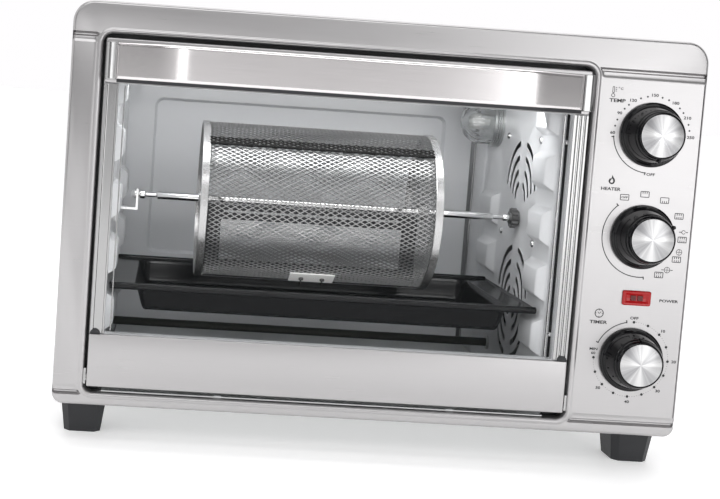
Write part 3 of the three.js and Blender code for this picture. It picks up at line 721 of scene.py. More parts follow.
def cavity():
    rods = [sum((Vector((0, v.y, v.z)) for v in box_of(node)), Vector()) / 2 for node in HEATERS]
    rod_holes = [circle((at.y, at.z), 4.6, 16) for at in rods]
    side_wall("left_wall_sheet", "cavity_left_wall", WALL_LEFT, 1, rod_holes)
    drive = circle((spit_mid.y, spit_mid.z), 5, 20)
    lamp = circle((lamp_mid.y, lamp_mid.z), 15, 28)
    side_wall("right_wall_sheet", "cavity_right_wall", WALL_RIGHT, -1,
              [*rod_holes, drive, lamp], vent_arcs())
    back_wall()
    dress("cavity_ceiling", "enamel")
    dress("cavity_floor", "dark")
    # The front flange is near-black: painted shade for the gap round the door.
    dress("cavity_front_flange", "dark_enamel_and_gap_shade")

    screws = Form()
    for y in (spit_mid.y - 51.5, spit_mid.y + 51.5):
        for z in (spit_mid.z + 74.8, spit_mid.z - 17.2):
            profile = [(0, 0.5), (3.4, 0.5), (3.4, -0.6), (2.6, -1.7), (0, -2.1)]
            screws.lathe(profile, (WALL_RIGHT, y, z), "X", 16)
    make("wall_screws", screws, "chrome", "oven")

    collars = Form()
    for node, at in zip(HEATERS, rods):
        low, high = box_of(node)
        left, right = low.x + 9, high.x - 9
        form = Form().lathe([(0, low.x), (1.6, low.x), (1.6, left), (3.4, left), (4, left + 0.6),
                             (4, right - 0.6), (3.4, right), (1.6, right), (1.6, high.x), (0, high.x)],
                            (0, at.y, at.z), "X", 28)
        make(f"{node}_rod", form, "heater", "oven", [node])
        for wall, inward in ((WALL_LEFT, 1), (WALL_RIGHT, -1)):
            ring = [(4.3, 0.2), (7, 0.2), (7, 1.4), (6.2, 2.2), (4.3, 2.2)]
            collars.lathe([(r, wall + h * inward) for r, h in ring], (0, at.y, at.z), "X", 24, closed=True)
    make("heater_collars", collars, "zinc", "oven")


def oven_lamp():
    at = (WALL_RIGHT, lamp_mid.y, lamp_mid.z)
    profile = [(0, 24), (14.5, 24), (14.5, -0.3), (24, -0.3)]
    for turn in range(4):  # the thread that the glass screws on to
        z = -1.5 - turn * 2.1
        profile += [(24, z), (24.8, z - 0.5), (24.8, z - 1.0), (23.4, z - 1.5)]
    profile += [(23.4, -10), (0, -10)]
    make("lamp_thread_ring", Form().lathe([(r, h) for r, h in profile], at, "X", 48), "zinc", "oven",
         ["oven_lamp_base"])

    ribs, steps, thick = 24, 96, 1.4
    outer, inner = [], []
    for k in range(9):
        a = math.radians(90 * k / 8)
        outer.append((22.3 * math.sin(a), -20 - 19 * math.cos(a)))
        inner.append(((22.3 - thick) * math.sin(a), -20 - (19 - thick) * math.cos(a)))
    outer.append((22.3, -10.4))
    inner.append((22.3 - thick, -10.4))
    rings = []
    for row, (radius, height) in enumerate(outer + inner[::-1]):
        ring = []
        for k in range(steps):
            a = 2 * math.pi * k / steps
            fluted = 0.45 * math.cos(ribs * a) * min(radius / 12, 1) if row < len(outer) else 0
            r = max(radius + fluted - 0.45, 0.05)
            ring.append((at[0] + height, at[1] + r * math.cos(a), at[2] + r * math.sin(a)))
        rings.append(ring)
    make("lamp_dome", Form().rings(rings), "lamp_glass", "oven", ["oven_lamp_glass"],
         smooth=60)
    bulb = [(0, -31)] + [(8.2 * math.sin(math.radians(a)), -23 - 8 * math.cos(math.radians(a)))
                         for a in range(15, 136, 15)] + [(4.6, -13), (4.6, -10.4), (0, -10.4)]
    make("lamp_bulb_glass", Form().lathe(bulb, at, "X", 32), "bulb", "oven",
         ["oven_lamp_bulb"])


# ---- rotisserie ---------------------------------------------------------------------------------

cage_low, cage_high = box_of("cage_left_end")
cage_right_low, cage_right_high = box_of("cage_right_end")
CAGE_RADIUS = (cage_high.z - cage_low.z) / 2 - 0.5
DRUM_LEFT, DRUM_RIGHT = cage_high.x + CLEAR, cage_right_low.x - CLEAR
SEAM_TOP, SEAM_LOW = 132.4, 250.6  # degrees about the spit, from +Y towards +Z
CELL_LONG, CELL_SHORT, STRAND = 7.6, 4.2, 0.66


def about_spit(x, radius, degrees):
    a = math.radians(degrees)
    return (x, spit_mid.y + radius * math.cos(a), spit_mid.z + radius * math.sin(a))


def diamond_mesh(form, columns, rows, put, keep=lambda i, j: True, strand=STRAND):
    """Expanded metal: a lattice of diamonds that share their edges, each with a diamond hole.
    put takes a place in half cells along the sheet, and whether it is on the far face."""
    half_width = math.hypot(CELL_LONG, CELL_SHORT) * strand / (CELL_LONG * CELL_SHORT)
    hole = 1 - half_width
    points, faces, number, border = [], [], {}, {}

    def corner(i, j, far):
        if (i, j, far) not in number:
            number[i, j, far] = len(points)
            points.append(put(i, j, far))
        return number[i, j, far]

    for i in range(1, 2 * columns):
        for j in range(1, 2 * rows):
            if (i + j) % 2 or not keep(i, j):
                continue
            around = ((i + 1, j), (i, j + 1), (i - 1, j), (i, j - 1))
            rings = []
            for far in (False, True):
                rings.append([corner(a, b, far) for a, b in around])
                start = len(points)
                points.extend(put(i + (a - i) * hole, j + (b - j) * hole, far) for a, b in around)
                rings.append(list(range(start, start + 4)))
            near, near_hole, far, far_hole = rings
            for k in range(4):
                n = (k + 1) % 4
                faces.append((near[k], near[n], near_hole[n], near_hole[k]))
                faces.append((far[n], far[k], far_hole[k], far_hole[n]))
                faces.append((near_hole[k], near_hole[n], far_hole[n], far_hole[k]))
                key = (near[n], near[k])
                if key in border:
                    border.pop(key)
                else:
                    border[near[k], near[n]] = (near[n], near[k], far[k], far[n])
    faces.extend(border.values())
    return form.add(points, faces)


def mesh_band(form, start, end, outer, left, right, strand=STRAND):
    """A curved sheet of expanded metal between two angles about the spit."""
    columns = round((right - left) / CELL_LONG)
    rows = round(math.radians(end - start) * outer / CELL_SHORT)

    def put(i, j, far):
        x = left + (right - left) * i / (2 * columns)
        return about_spit(x, outer - 0.6 * far, start + (end - start) * j / (2 * rows))

    return diamond_mesh(form, columns, rows, put, strand=strand)


def edge_strip(form, angle, width, inner, thick, left, right):
    """A thin folded strip along the cage, that binds an edge of the expanded metal."""
    rings = []
    for x in (left, right):
        ring = [about_spit(x, inner + thick, angle + width * t / 4) for t in range(5)]
        ring += [about_spit(x, inner, angle + width * t / 4) for t in range(4, -1, -1)]
        rings.append(ring)
    return form.rings(rings)


def cage_end(name, node):
    low, high = box_of(node)
    middle = (low.x + high.x) / 2
    outer, wall = CAGE_RADIUS + 0.5, 2.2
    ring = Form().lathe([(outer - wall, low.x), (outer - 0.5, low.x), (outer, low.x + 0.5),
                         (outer, high.x - 0.5), (outer - 0.5, high.x), (outer - wall, high.x)],
                        SPIT_AXIS, "X", 120, closed=True)
    ring.lathe([(3.7, low.x), (7.4, low.x), (8, low.x + 0.6), (8, middle), (13, middle), (13, middle + 0.8),
                (8, middle + 0.8), (8, high.x - 0.6), (7.4, high.x), (3.7, high.x)],
               SPIT_AXIS, "X", 40, closed=True)
    make(name, ring, "ring", "rotisserie", [node])

    limit = CAGE_RADIUS - wall + 1.6
    across = math.ceil(limit / CELL_LONG) + 1
    up = math.ceil(limit / CELL_SHORT) + 1

    def offset(i, j):
        return ((i - 2 * across) * CELL_LONG / 2, (j - 2 * up) * CELL_SHORT / 2)

    def keep(i, j):
        u, v = offset(i, j)
        reach = math.hypot(abs(u) + CELL_LONG / 4, abs(v) + CELL_SHORT / 4)
        return 10 < math.hypot(u, v) and reach < limit

    def put(i, j, far):
        u, v = offset(i, j)
        return (middle + (0.6 if far else 0), spit_mid.y + u, spit_mid.z + v)

    disc = diamond_mesh(Form(), 2 * across, 2 * up, put, keep)
    make(f"{name}_mesh", disc, "mesh", "rotisserie")


def spit():
    profile = [(0, -209)]
    profile += [(4.2 * math.sin(math.radians(a)), -204.9 - 4.1 * math.cos(math.radians(a)))
                for a in range(15, 151, 15)]
    profile += [(2, -201.2), (2, -200.9), (3.6, -200.7), (4, -200.2), (4, -196.4), (3.4, -195.6),
                (2.1, -195), (2, -186), (3.2, -184.6), (3.5, -184), (3.5, 125.4), (3.1, 126.4), (2, 127.2),
                (2, 136), (3.1, 136.4), (3.4, 137), (3.4, 146.6), (3, 147.3), (0, 147.3)]
    form = Form().lathe(profile, SPIT_AXIS, "X", 32)
    make("spit", form, "chrome", "rotisserie", ["spit_rod"])

    low, high = box_of("spit_drive_socket")
    teeth, outline = 12, []
    for k in range(teeth * 8):
        swell = math.cos(2 * math.pi * k / 8)
        radius = 8.6 + 0.75 * max(min(1.8 * swell, 1), -1)
        a = 2 * math.pi * k / (teeth * 8)
        outline.append((spit_mid.y + radius * math.cos(a), spit_mid.z + radius * math.sin(a)))
    holes = [circle((spit_mid.y, spit_mid.z), 3.8, 28)]
    socket = Form().plate(outline, holes, (), (), lambda u, v: 0, lambda u, v, w: -5.4,
                          lambda u, v, w: (low.x - w, u, v))
    socket.lathe([(0, low.x + 4.6), (7.4, low.x + 4.6), (7.4, 150.4), (4, 150.4), (4, high.x), (0, high.x)],
                 SPIT_AXIS, "X", 32)
    bush = [(3.8, -1.4), (5.6, -1.4), (6, -0.8), (6, 0.2), (3.8, 0.2)]
    socket.lathe([(r, low.x + h) for r, h in bush], SPIT_AXIS, "X", 32, closed=True)
    make("drive_socket", socket, "dark", "rotisserie", ["spit_drive_socket"], bevel=0.25)


def cage_drum():
    left, right = DRUM_LEFT - 2, DRUM_RIGHT + 2
    drum = mesh_band(Form(), SEAM_LOW + 1, SEAM_TOP + 360 - 1, CAGE_RADIUS - 0.2, left, right)
    make("cage_mesh_drum", drum, "mesh", "rotisserie", ["cage_drum"])
    # The lap over the seam is near-black: painted shade where the lid overlaps the drum.
    lap = mesh_band(Form(), SEAM_TOP - 8.6, SEAM_TOP + 0.2, CAGE_RADIUS + 0.5, left, right, 1.4)
    make("cage_seam_lap_painted_shade", lap, "seam", "rotisserie")
    bound = edge_strip(Form(), SEAM_LOW + 0.7, 2.8, CAGE_RADIUS - 1.1, 1.2, left, right)
    make("cage_drum_bindings", bound, "chrome", "rotisserie")


def cage_lid():
    lid_left, lid_right = DRUM_LEFT + 0.6, DRUM_RIGHT - 0.6
    lid = mesh_band(Form(), SEAM_TOP + 1, SEAM_LOW - 1, CAGE_RADIUS - 0.2, lid_left, lid_right)
    make("cage_mesh_lid", lid, "mesh", "cage_lid", ["cage_door"])
    folds = edge_strip(Form(), SEAM_LOW - 2.6, 1.9, CAGE_RADIUS - 1.1, 1.2, lid_left, lid_right)
    make("cage_lid_bindings", folds, "chrome", "cage_lid")


def cage_latch():
    """A tinned strip on the lid's edge, with two studs and the hooks that close over them."""
    low, high = box_of("cage_latch")
    latch = edge_strip(Form(), SEAM_LOW - 17, 15, CAGE_RADIUS + 0.3, 1.2, low.x, high.x)
    # Its finish glows faintly: painted light on a strip that faces down and away from the lamps.
    make("latch_strip", latch, "latch", "cage_lid", ["cage_latch"], bevel=0.25)
    studs, hooks = Form(), Form()
    middle, apart = (low.x + high.x) / 2, 9.5
    for x in (middle - apart, middle + apart):
        at = [about_spit(x, CAGE_RADIUS + r, SEAM_LOW - 10) for r in (0.6, 1.6, 3.0)]
        studs.tube(at, 2.1, 14)
        hook = [about_spit(x, CAGE_RADIUS + r, SEAM_LOW - 10 + a)
                for r, a in ((2.9, 0), (3.2, 3), (3.3, 6), (3.3, 10), (3.3, 14))]
        hooks.tube(hook, 0.6, 8)
    make("latch_studs", studs, "dark", "cage_lid")
    make("latch_hooks", hooks, "chrome", "cage_lid")


def lid_hinge():
    low, high = box_of("cage_hinge_wire")
    at = (low + high) / 2
    wire = Form().lathe([(0, low.x), (1.2, low.x), (1.2, high.x), (0, high.x)], (0, at.y, at.z), "X", 16)
    for k in range(9):  # the curls that hold the lid to the hinge wire
        x = low.x + 12 + (high.x - low.x - 24) * k / 8
        curl = [(1.1, x - 2.4), (1.75, x - 2.4), (1.75, x + 2.4), (1.1, x + 2.4)]
        wire.lathe(curl, (0, at.y, at.z), "X", 16, closed=True)
    # The hinge wire takes the near-black seam finish, which is painted shade along the seam.
    make("lid_hinge_wire", wire, "seam", "rotisserie", ["cage_hinge_wire"])


def food_frame():
    """A flat steel frame across the middle of the cage, with a slot and tabs along its top rail."""
    low, high = box_of("cage_inner_frame")
    outline = rounded((low.x, low.z, high.x, high.z, 2, 2), 0, 4)
    window = rounded((low.x + 14, low.z + 7, high.x - 14, high.z - 14, 2, 2), 0, 4)
    groove_z = high.z - 6.5
    slots = [rounded((low.x + 16, groove_z - 0.9, high.x - 16, groove_z + 0.9, 0.8, 0.8), 0, 3)]
    form = Form().plate(outline, [window, *slots], (), (), lambda u, v: 0.7, lambda u, v, w: -0.7,
                        lambda u, v, w: (u, spit_mid.y - w, v))
    for x in (-106, -74, -18, 15):  # tabs that grip the food
        form.box((x - 1.6, spit_mid.y - 6.5, groove_z - 5), (x + 1.6, spit_mid.y - 0.5, groove_z - 3.8))
        form.box((x - 1.6, spit_mid.y - 6.5, groove_z + 3.8), (x + 1.6, spit_mid.y - 0.5, groove_z + 5))
    make("cage_food_frame", form, "dark_enamel_and_gap_shade", "rotisserie", ["cage_inner_frame"])


def cage():
    cage_end("cage_ring_left", "cage_left_end")
    cage_end("cage_ring_right", "cage_right_end")
    cage_drum()
    cage_lid()
    cage_latch()
    lid_hinge()
    food_frame()


def mechanism():
    """The parts behind the walls keep their CAD shape."""
    dress("spit_hanger", "chrome", 0.3)
    for node in ("spit_gearmotor", "fan_impeller", "thermostat", "timer", "fan_motor"):
        dress(node, "dark")
    dress("function_switch", "foot")
    dress("power_lamp_holder", "foot")


# ---- door ---------------------------------------------------------------------------------------

WINDOW = (glass_low.x - CLEAR, glass_low.z - CLEAR, glass_high.x + CLEAR, glass_high.z + CLEAR)


def skin_plate(name, node, radius, edge):
    """A stainless door skin with its edges rolled back."""
    low, high = box_of(node)
    rect = (low.x, low.z, high.x, high.z, radius, radius)

    def relief(u, v):
        inset = min(-beyond(rect, u, v) / edge, 1)
        return -edge * (1 - math.sqrt(max(1 - (1 - inset) ** 2, 0)))

    loops = [rounded(rect, -edge * share, 6) for share in (0.1, 0.3, 0.6, 1)]
    form = Form().plate(rounded(rect, 0, 6), (), loops, (), relief, lambda u, v, w: -2.2, on_front)
    make(name, form, "stainless", "door", [node])


def door_trims():
    """Each side trim is a drawn strip with ridges that run up the door."""
    z0, z1 = WINDOW[1] + CLEAR, WINDOW[3] - CLEAR
    ridges = {
        "left": (door_low.x, 1, [(0, 2.2), (0, 0.9), (0.9, 0), (2.9, 0), (3.5, 0.9), (4.1, 1.1),
                                 (10.4, 1.1), (10.9, 0.1), (12, 0.1), (12, 2.2)]),
        "right": (door_high.x, -1, [(0, 2.2), (0, 0.7), (0.7, 0), (2.2, 0), (2.9, 1.2), (3.6, 1.2),
                                    (4.2, 0.2), (5.8, 0.2), (6.4, 1.3), (7.2, 1.3), (7.8, 0.3), (9.2, 0.3),
                                    (9.8, 1.6), (12, 1.6), (12, 2.2)]),
    }
    for side, (edge, inward, profile) in ridges.items():
        outline = [(edge + inward * across, FRONT + deep) for across, deep in profile]
        form = Form().rings([[(x, y, z) for x, y in outline] for z in (z0, z1)])
        make(f"door_trim_{side}", form, "trim", "door", [f"door_{side}_trim"], bevel=0.2)


def sweep_handle(name, path, outline, middle, height, look, replaces):
    """Carries an outline, in distance back and up, along the handle's path in X and Y."""
    rings = []
    for i, (x, y) in enumerate(path):
        ahead = Vector(path[min(i + 1, len(path) - 1)]) - Vector(path[max(i - 1, 0)])
        normal = Vector((-ahead.y, ahead.x)).normalized()
        rings.append([(middle + x + normal.x * b, y + normal.y * b, height + h) for b, h in outline])
    make(name, Form().rings(rings), look, "door", replaces, smooth=24)


HANDLE_BEND = 143  # from the door's middle to each bend
HANDLE_EASE = 16  # half the length over which the strip bends


def handle():
    low, high = box_of("door_handle")
    middle = (low.x + high.x) / 2
    reach = (high.x - low.x) / 2
    face, foot = low.y, high.y - 2
    slope = (foot - face) / (reach - HANDLE_BEND)
    turn = []
    for t in (-1, -0.75, -0.5, -0.25, 0, 0.25, 0.5, 0.75, 1):
        turn.append((HANDLE_BEND + HANDLE_EASE * t, face + slope * HANDLE_EASE * (t + 1) ** 2 / 4))
    path = [(-reach, foot), *((-x, y) for x, y in turn[::-1]), *turn, (reach, foot)]
    half = (high.z - low.z) / 2
    centre = (low.z + high.z) / 2
    curl, thick = 2.8, 1.4
    outside, inside = [], []
    for k in range(7):  # the lower lip, which curls back
        a = math.radians(15 * k)
        outside.append((curl - curl * math.sin(a), -half + curl - curl * math.cos(a)))
        inside.append((curl - (curl - thick) * math.sin(a), -half + curl - (curl - thick) * math.cos(a)))
    outside.append((0, -half + curl + 0.5))
    outside += [(b, -h) for b, h in outside[::-1]]
    inside += [(b, -h) for b, h in inside[::-1]]
    sweep_handle("handle_strip", path, outside + inside[::-1], middle, centre, "handle", ["door_handle"])
    # A black strip below the lower lip: painted shadow that darkens the underside of the handle, where
    # shade falls.
    shadow_strip = [(0.8, -half - 2.0), (6.5, -half - 2.0), (6.5, -half + 1.5), (0.8, -half + 1.5)]
    sweep_handle("handle_painted_shadow_strip", path, shadow_strip, middle, centre, "foot", ())

    for side, node in (("left", "handle_left_bracket"), ("right", "handle_right_bracket")):
        low, high = box_of(node)
        sign = 1 if side == "left" else -1
        near, far = (low.x, high.x) if sign > 0 else (high.x, low.x)
        outline = [(near, high.y), (far, high.y), (far, low.y)]
        outline.append((far - sign * 4.4, low.y))
        for k in range(7):
            a = math.radians(90 * k / 6)
            outline.append((near + sign * (4.8 - 4.8 * math.sin(a)), low.y + 5 - 5 * math.cos(a)))
        form = Form().rings([[(x, y, z) for x, y in outline] for z in (low.z, high.z)])
        make(f"handle_bracket_{side}", form, "trim", "door", [node], bevel=0.7)


def door():
    skin_plate("door_sheet_lower", "door_lower_panel", 1.0, 1.3)
    skin_plate("door_sheet_top", "door_top_panel", 2.0, 1.3)
    door_trims()
    handle()
    dress("door_frame", "enamel", 0.4)
    dress("door_glass", "glass")
    clips, screws = Form(), Form()
    x, y = glass_high.x - 4, glass_high.y + 0.2
    clips.box((x - 1.1, y, glass_low.z + 1), (x, y + 2.2, glass_high.z - 1))
    clips.box((glass_low.x + 4, y, glass_low.z + 1), (glass_low.x + 5, y + 2.2, glass_high.z - 1))
    make("glass_clips", clips, "trim", "door", bevel=0.2)
    for z in (glass_low.z + 19, glass_high.z - 23):
        head = [(0, 2), (1.8, 2), (1.8, 0.6), (1.2, 0), (0, -0.2)]
        screws.lathe(head, (glass_high.x - 0.9, y + 1.6, z), "Y", 16)
    make("glass_clip_screws", screws, "chrome", "door")
    bumpers = Form()
    for x in (door_low.x + 5, door_high.x - 5):
        arch = [(x + 4.2 * math.cos(math.radians(a)), skin_high.z + 0.2 + 4.2 * math.sin(math.radians(a)))
                for a in range(0, 181, 15)]
        bumpers.prism(arch, FRONT - 0.8, FRONT + 1, "Y")
    make("door_bumpers", bumpers, "foot", "door", bevel=0.3)
    for node in ("door_hinge_left", "door_hinge_right"):
        dress(node, "trim", 0.8)


# ---- controls -----------------------------------------------------------------------------------


KNOB_HEIGHT = 23.2
POINTERS = {"temperature": 180, "function": 57, "timer": 0}  # degrees clockwise from the top


def knob(name):
    centre = (DIAL_X, FRONT, DIAL_Z[name])
    tall = KNOB_HEIGHT
    profile = [(0, -13.7), (3, -13.7), (3, 0.5), (26.2, 0.5), (26.6, 0.9), (26.6, 2.2), (26.2, 2.8),
               (25.2, 3.1), (24.8, 3.5), (24.7, 4.3), (24.2, 5.0), (23.5, 5.4), (20.9, tall - 6.2),
               (20.6, tall - 4.8), (20.0, tall - 4.0), (19.8, tall - 2.8), (19.2, tall - 1.2),
               (18.6, tall - 0.3), (18.0, tall), (17.7, tall - 0.3), (17.6, tall - 1), (0, tall - 1)]
    body = Form().lathe([(r, -h) for r, h in profile], centre, "Y", 96)
    a = math.radians(POINTERS[name])
    at = (centre[0] + 20.6 * math.sin(a), FRONT, centre[2] + 20.6 * math.cos(a))
    bead = [(0, -tall + 6.5), (1.6, -tall + 6.5), (1.6, -tall + 2.2), (1.1, -tall + 1.4), (0, -tall + 1.2)]
    body.lathe(bead, at, "Y", 20)
    make(f"{name}_knob_body", body, "knob", f"{name}_dial", [f"{name}_knob"], smooth=25)
    face = [(0, tall - 0.7), (16.8, tall - 0.7), (17.3, tall - 0.2), (17.3, tall), (16.9, tall + 0.2),
            (0.05, tall - 0.15)]
    disc = Form().lathe([(r, -h) for r, h in face], centre, "Y", 96)
    make(f"{name}_knob_face", disc, "aluminium", f"{name}_dial", [f"{name}_knob_disc"])


def power_lamp():
    low, high = box_of("power_lamp_lens")
    mid = (low + high) / 2
    outer = (low.x, low.z, high.x, high.z, 1.6, 1.6)

    def relief(u, v):
        inset = -beyond(outer, u, v)
        return 1.0 * smoothstep(inset / 0.8) - 1.5 * smoothstep((inset - 1.6) / 2.4)

    loops = [rounded(outer, -g, 5) for g in (0.2, 0.5, 0.8, 1.6, 2.2, 2.8, 3.4, 4.0)]
    form = Form().plate(rounded(outer, 0, 5), (), loops, (), relief, lambda u, v, w: -0.6,
                        lambda u, v, w: (u, FRONT - 0.9 - w, v))
    form.box((mid.x - 10, FRONT - 0.35, mid.z - 4.6), (mid.x + 10, FRONT + 6, mid.z + 4.6))
    make("pilot_lens", form, "pilot", "oven", ["power_lamp_lens"], smooth=25)
    core = Form()
    for side in (-1, 1):
        x = mid.x + side * 2.9
        core.box((x - 2.2, FRONT - 1.15, mid.z - 2.1), (x + 2.2, FRONT - 0.6, mid.z + 2.1))
    make("pilot_core", core, "pilot_core", "oven")


PRINT_RISE = 0.06  # how far the printed marks stand off the panel


def around(name, degrees, radius):
    """A place round a dial, in degrees clockwise from its top."""
    a = math.radians(degrees)
    return DIAL_X + radius * math.sin(a), DIAL_Z[name] + radius * math.cos(a)


class Marks(Form):
    """Flat black print on the panel: strokes, dots, boxes and generic words."""

    def flat(self, outline, holes=()):
        return self.plate(outline, holes, (), (), lambda u, v: PRINT_RISE, lambda u, v, w: 0.0,
                          lambda u, v, w: (u, FRONT - w - 0.01, v))

    def dot(self, x, z, radius):
        return self.flat(circle((x, z), radius, 12))

    def line(self, x0, z0, x1, z1, width=0.6):
        along = Vector((x1 - x0, z1 - z0)).normalized()
        side = Vector((-along.y, along.x)) * width / 2
        a, b = Vector((x0, z0)), Vector((x1, z1))
        return self.flat([tuple(p) for p in (a - side, b - side, b + side, a + side)])

    def frame(self, x, z, width, height, radius=0.7, stroke=0.6):
        outer = (x - width / 2, z - height / 2, x + width / 2, z + height / 2, radius, radius)
        return self.flat(rounded(outer, 0, 3), [rounded(outer, -stroke, 3)])

    def ring(self, x, z, radius, stroke=0.4):
        return self.flat(circle((x, z), radius, 28), [circle((x, z), radius - stroke, 28)])

    def sweep(self, name, radius, first, last, steps, past=0):
        """An arc round a dial between two ticks, in degrees clockwise from its top."""
        centre = (DIAL_X, DIAL_Z[name])
        self.flat(arc_band(centre, radius, 0.75, 90 - last - past, 90 - first + past, steps))
        for angle in (last, first):
            self.line(*around(name, angle, radius - 0.6), *around(name, angle, radius + 1.9), 0.9)

    def word(self, text, x, z, height, width=None):
        """A word or number, centred on a place and stretched to a height and a width."""
        curve = bpy.data.curves.new("text", "FONT")
        curve.body = text
        curve.align_x, curve.align_y = "CENTER", "CENTER"
        curve.size = 1.0
        curve.offset = 0.03
        curve.resolution_u = 3
        holder = bpy.data.objects.new("text", curve)
        bpy.context.scene.collection.objects.link(holder)
        bpy.context.view_layer.update()
        mesh = bpy.data.meshes.new_from_object(holder)
        bpy.data.objects.remove(holder)
        work = bmesh.new()
        work.from_mesh(mesh)
        bmesh.ops.remove_doubles(work, verts=work.verts, dist=1e-5)
        made = bmesh.ops.extrude_face_region(work, geom=work.faces[:])
        lifted = {v for v in made["geom"] if isinstance(v, bmesh.types.BMVert)}
        xs = [v.co.x for v in work.verts]
        ys = [v.co.y for v in work.verts]
        grow_z = height / (max(ys) - min(ys))
        grow_x = width / (max(xs) - min(xs)) if width else grow_z * 1.3
        mid_x, mid_y = (max(xs) + min(xs)) / 2, (max(ys) + min(ys)) / 2
        points = [(x + (v.co.x - mid_x) * grow_x, FRONT - 0.01 - (PRINT_RISE if v in lifted else 0),
                   z + (v.co.y - mid_y) * grow_z) for v in work.verts]
        work.verts.index_update()
        faces = [[v.index for v in face.verts] for face in work.faces]
        work.free()
        return self.add(points, faces)


def heater_sign(marks, x, z, above, below):
    marks.frame(x, z, 7.6, 5.2)
    for shown, side in ((above, 1), (below, -1)):
        if shown:
            for step in (-1, 0, 1):
                marks.line(x + step * 1.7, z + side * 1.9, x + step * 1.7, z + side * 0.5)


def fan_sign(marks, x, z):
    marks.ring(x, z, 2.6, 0.45)
    marks.line(x - 2.3, z, x + 2.3, z, 0.4)
    marks.line(x, z - 2.3, x, z + 2.3, 0.4)


def print_temperature():
    marks = Marks()
    radius = 31.6
    numbers = [("60", -90), ("90", -60), ("120", -33), ("150", 0), ("180", 33), ("210", 61), ("250", 90)]
    for (_, start), (_, end) in zip(numbers, numbers[1:]):
        for part in (0.34, 0.66):
            marks.dot(*around("temperature", start + (end - start) * part, radius), 0.8)
    for text, angle in numbers:
        marks.word(text, *around("temperature", angle, radius + 1), 2.5)
    marks.word("OFF", *around("temperature", 176, radius + 1), 2.4)
    marks.sweep("temperature", radius, -175, -96, 24, past=1)
    x, z = DIAL_X - 35, panel_high.z - 10
    marks.ring(x, z - 3, 1.6, 0.5)
    marks.flat(rounded((x - 0.9, z - 1.2, x + 0.9, z + 4.4, 0.8, 0.8), 0, 3),
               [rounded((x - 0.45, z - 1.6 + 1, x + 0.45, z + 3.9, 0.4, 0.4), 0, 3)])
    for step in range(3):
        marks.line(x + 1.6, z + 0.6 + step * 1.4, x + 2.8, z + 0.6 + step * 1.4)
    marks.ring(x + 4.6, z + 3.6, 0.6, 0.3)
    marks.word("C", x + 6.9, z + 2.8, 2.0)
    marks.word("TEMP", DIAL_X - 31, panel_high.z - 17, 3.0, 13.6)
    make("dial_marks_temperature", marks, "print", "oven")


def print_function():
    marks = Marks()
    x, z = around("function", -29, 36.5)
    marks.frame(x, z, 7.6, 5.2)
    marks.word("OFF", x, z, 1.7, 5.4)
    heater_sign(marks, *around("function", -1.5, 35.4), True, False)
    heater_sign(marks, *around("function", 27, 35.2), False, True)
    for angle in (57, 90.5, 119, 151):
        heater_sign(marks, *around("function", angle, 35 if angle != 90.5 else 33.8), True, True)
    x, z = around("function", 80, 34.9)
    marks.line(x - 3.8, z, x - 1.8, z)
    marks.line(x + 1.8, z, x + 3.8, z)
    marks.flat(arc_band((x, z), 1.5, 0.5, 20, 330, 16))
    fan_sign(marks, *around("function", 108.5, 34.0))
    x, z = around("function", 138, 35.2)
    fan_sign(marks, x, z)
    marks.line(x - 4.8, z, x - 2.9, z)
    marks.line(x + 2.9, z, x + 4.8, z)
    marks.sweep("function", 33.6, -187, -42, 32)
    x, z = DIAL_X - 29.6, DIAL_Z["function"] + 45.5
    flame = [(0.1, 4.2), (1.2, 2.2), (2.5, 0.4), (2.7, -1.2), (1.9, -2.8), (0.2, -3.6), (-1.8, -2.9),
             (-2.8, -1.3), (-2.4, 0.4), (-1.4, 1.6), (-1.0, 0.6), (-0.2, 2.2)]
    heart = [(0.2, 1.2), (1.1, -0.3), (1.2, -1.4), (0.3, -2.4), (-0.9, -2.1), (-1.4, -1.1), (-0.8, -0.1)]
    marks.flat([(x + u, z + v) for u, v in flame], [[(x + u, z + v) for u, v in heart]])
    marks.word("HEATER", x - 0.2, z - 7.3, 2.7, 16.5)
    make("dial_marks_function", marks, "print", "oven")


def print_timer():
    marks = Marks()
    radius = 31.4
    for step in range(13):
        marks.dot(*around("timer", step * 22.5, radius), 1.15)
        if step < 12:
            for part in range(1, 6):
                marks.dot(*around("timer", (step + part / 6) * 22.5, radius), 0.26)
    for minutes, angle in ((10, 45), (20, 90), (30, 135), (40, 180), (50, 225)):
        marks.word(str(minutes), *around("timer", angle, radius + (5.2 if angle == 90 else 4.4)), 2.4)
    x, z = around("timer", 0, radius + 3.4)
    marks.word("OFF", x, z, 2.4)
    x, z = around("timer", 270, radius)
    marks.word("60", x - 0.6, z + 3.8, 2.2)
    marks.word("MIN", x - 0.6, z + 7.2, 2.2)
    marks.sweep("timer", radius, -66, -11, 20)
    x, z = DIAL_X - 30, DIAL_Z["timer"] + 37.3
    marks.ring(x, z, 3.8, 0.7)
    for u, v in ((0, 1), (1, 0), (0, -1), (-1, 0)):
        marks.line(x + 2.2 * u, z + 2.2 * v, x + 3.2 * u, z + 3.2 * v, 0.5)
    marks.line(x - 1.3, z + 1.2, x, z - 0.4, 0.45)
    marks.line(x + 1.6, z + 1.4, x, z - 0.4, 0.45)
    marks.word("TIMER", x, z - 7.4, 2.8, 15)
    lamp_at = sum(v.z for v in box_of("power_lamp_lens")) / 2
    marks.word("POWER", DIAL_X + 27.6, lamp_at - 1, 2.4, 16)
    make("dial_marks_timer", marks, "print", "oven")


# ---- trays --------------------------------------------------------------------------------------


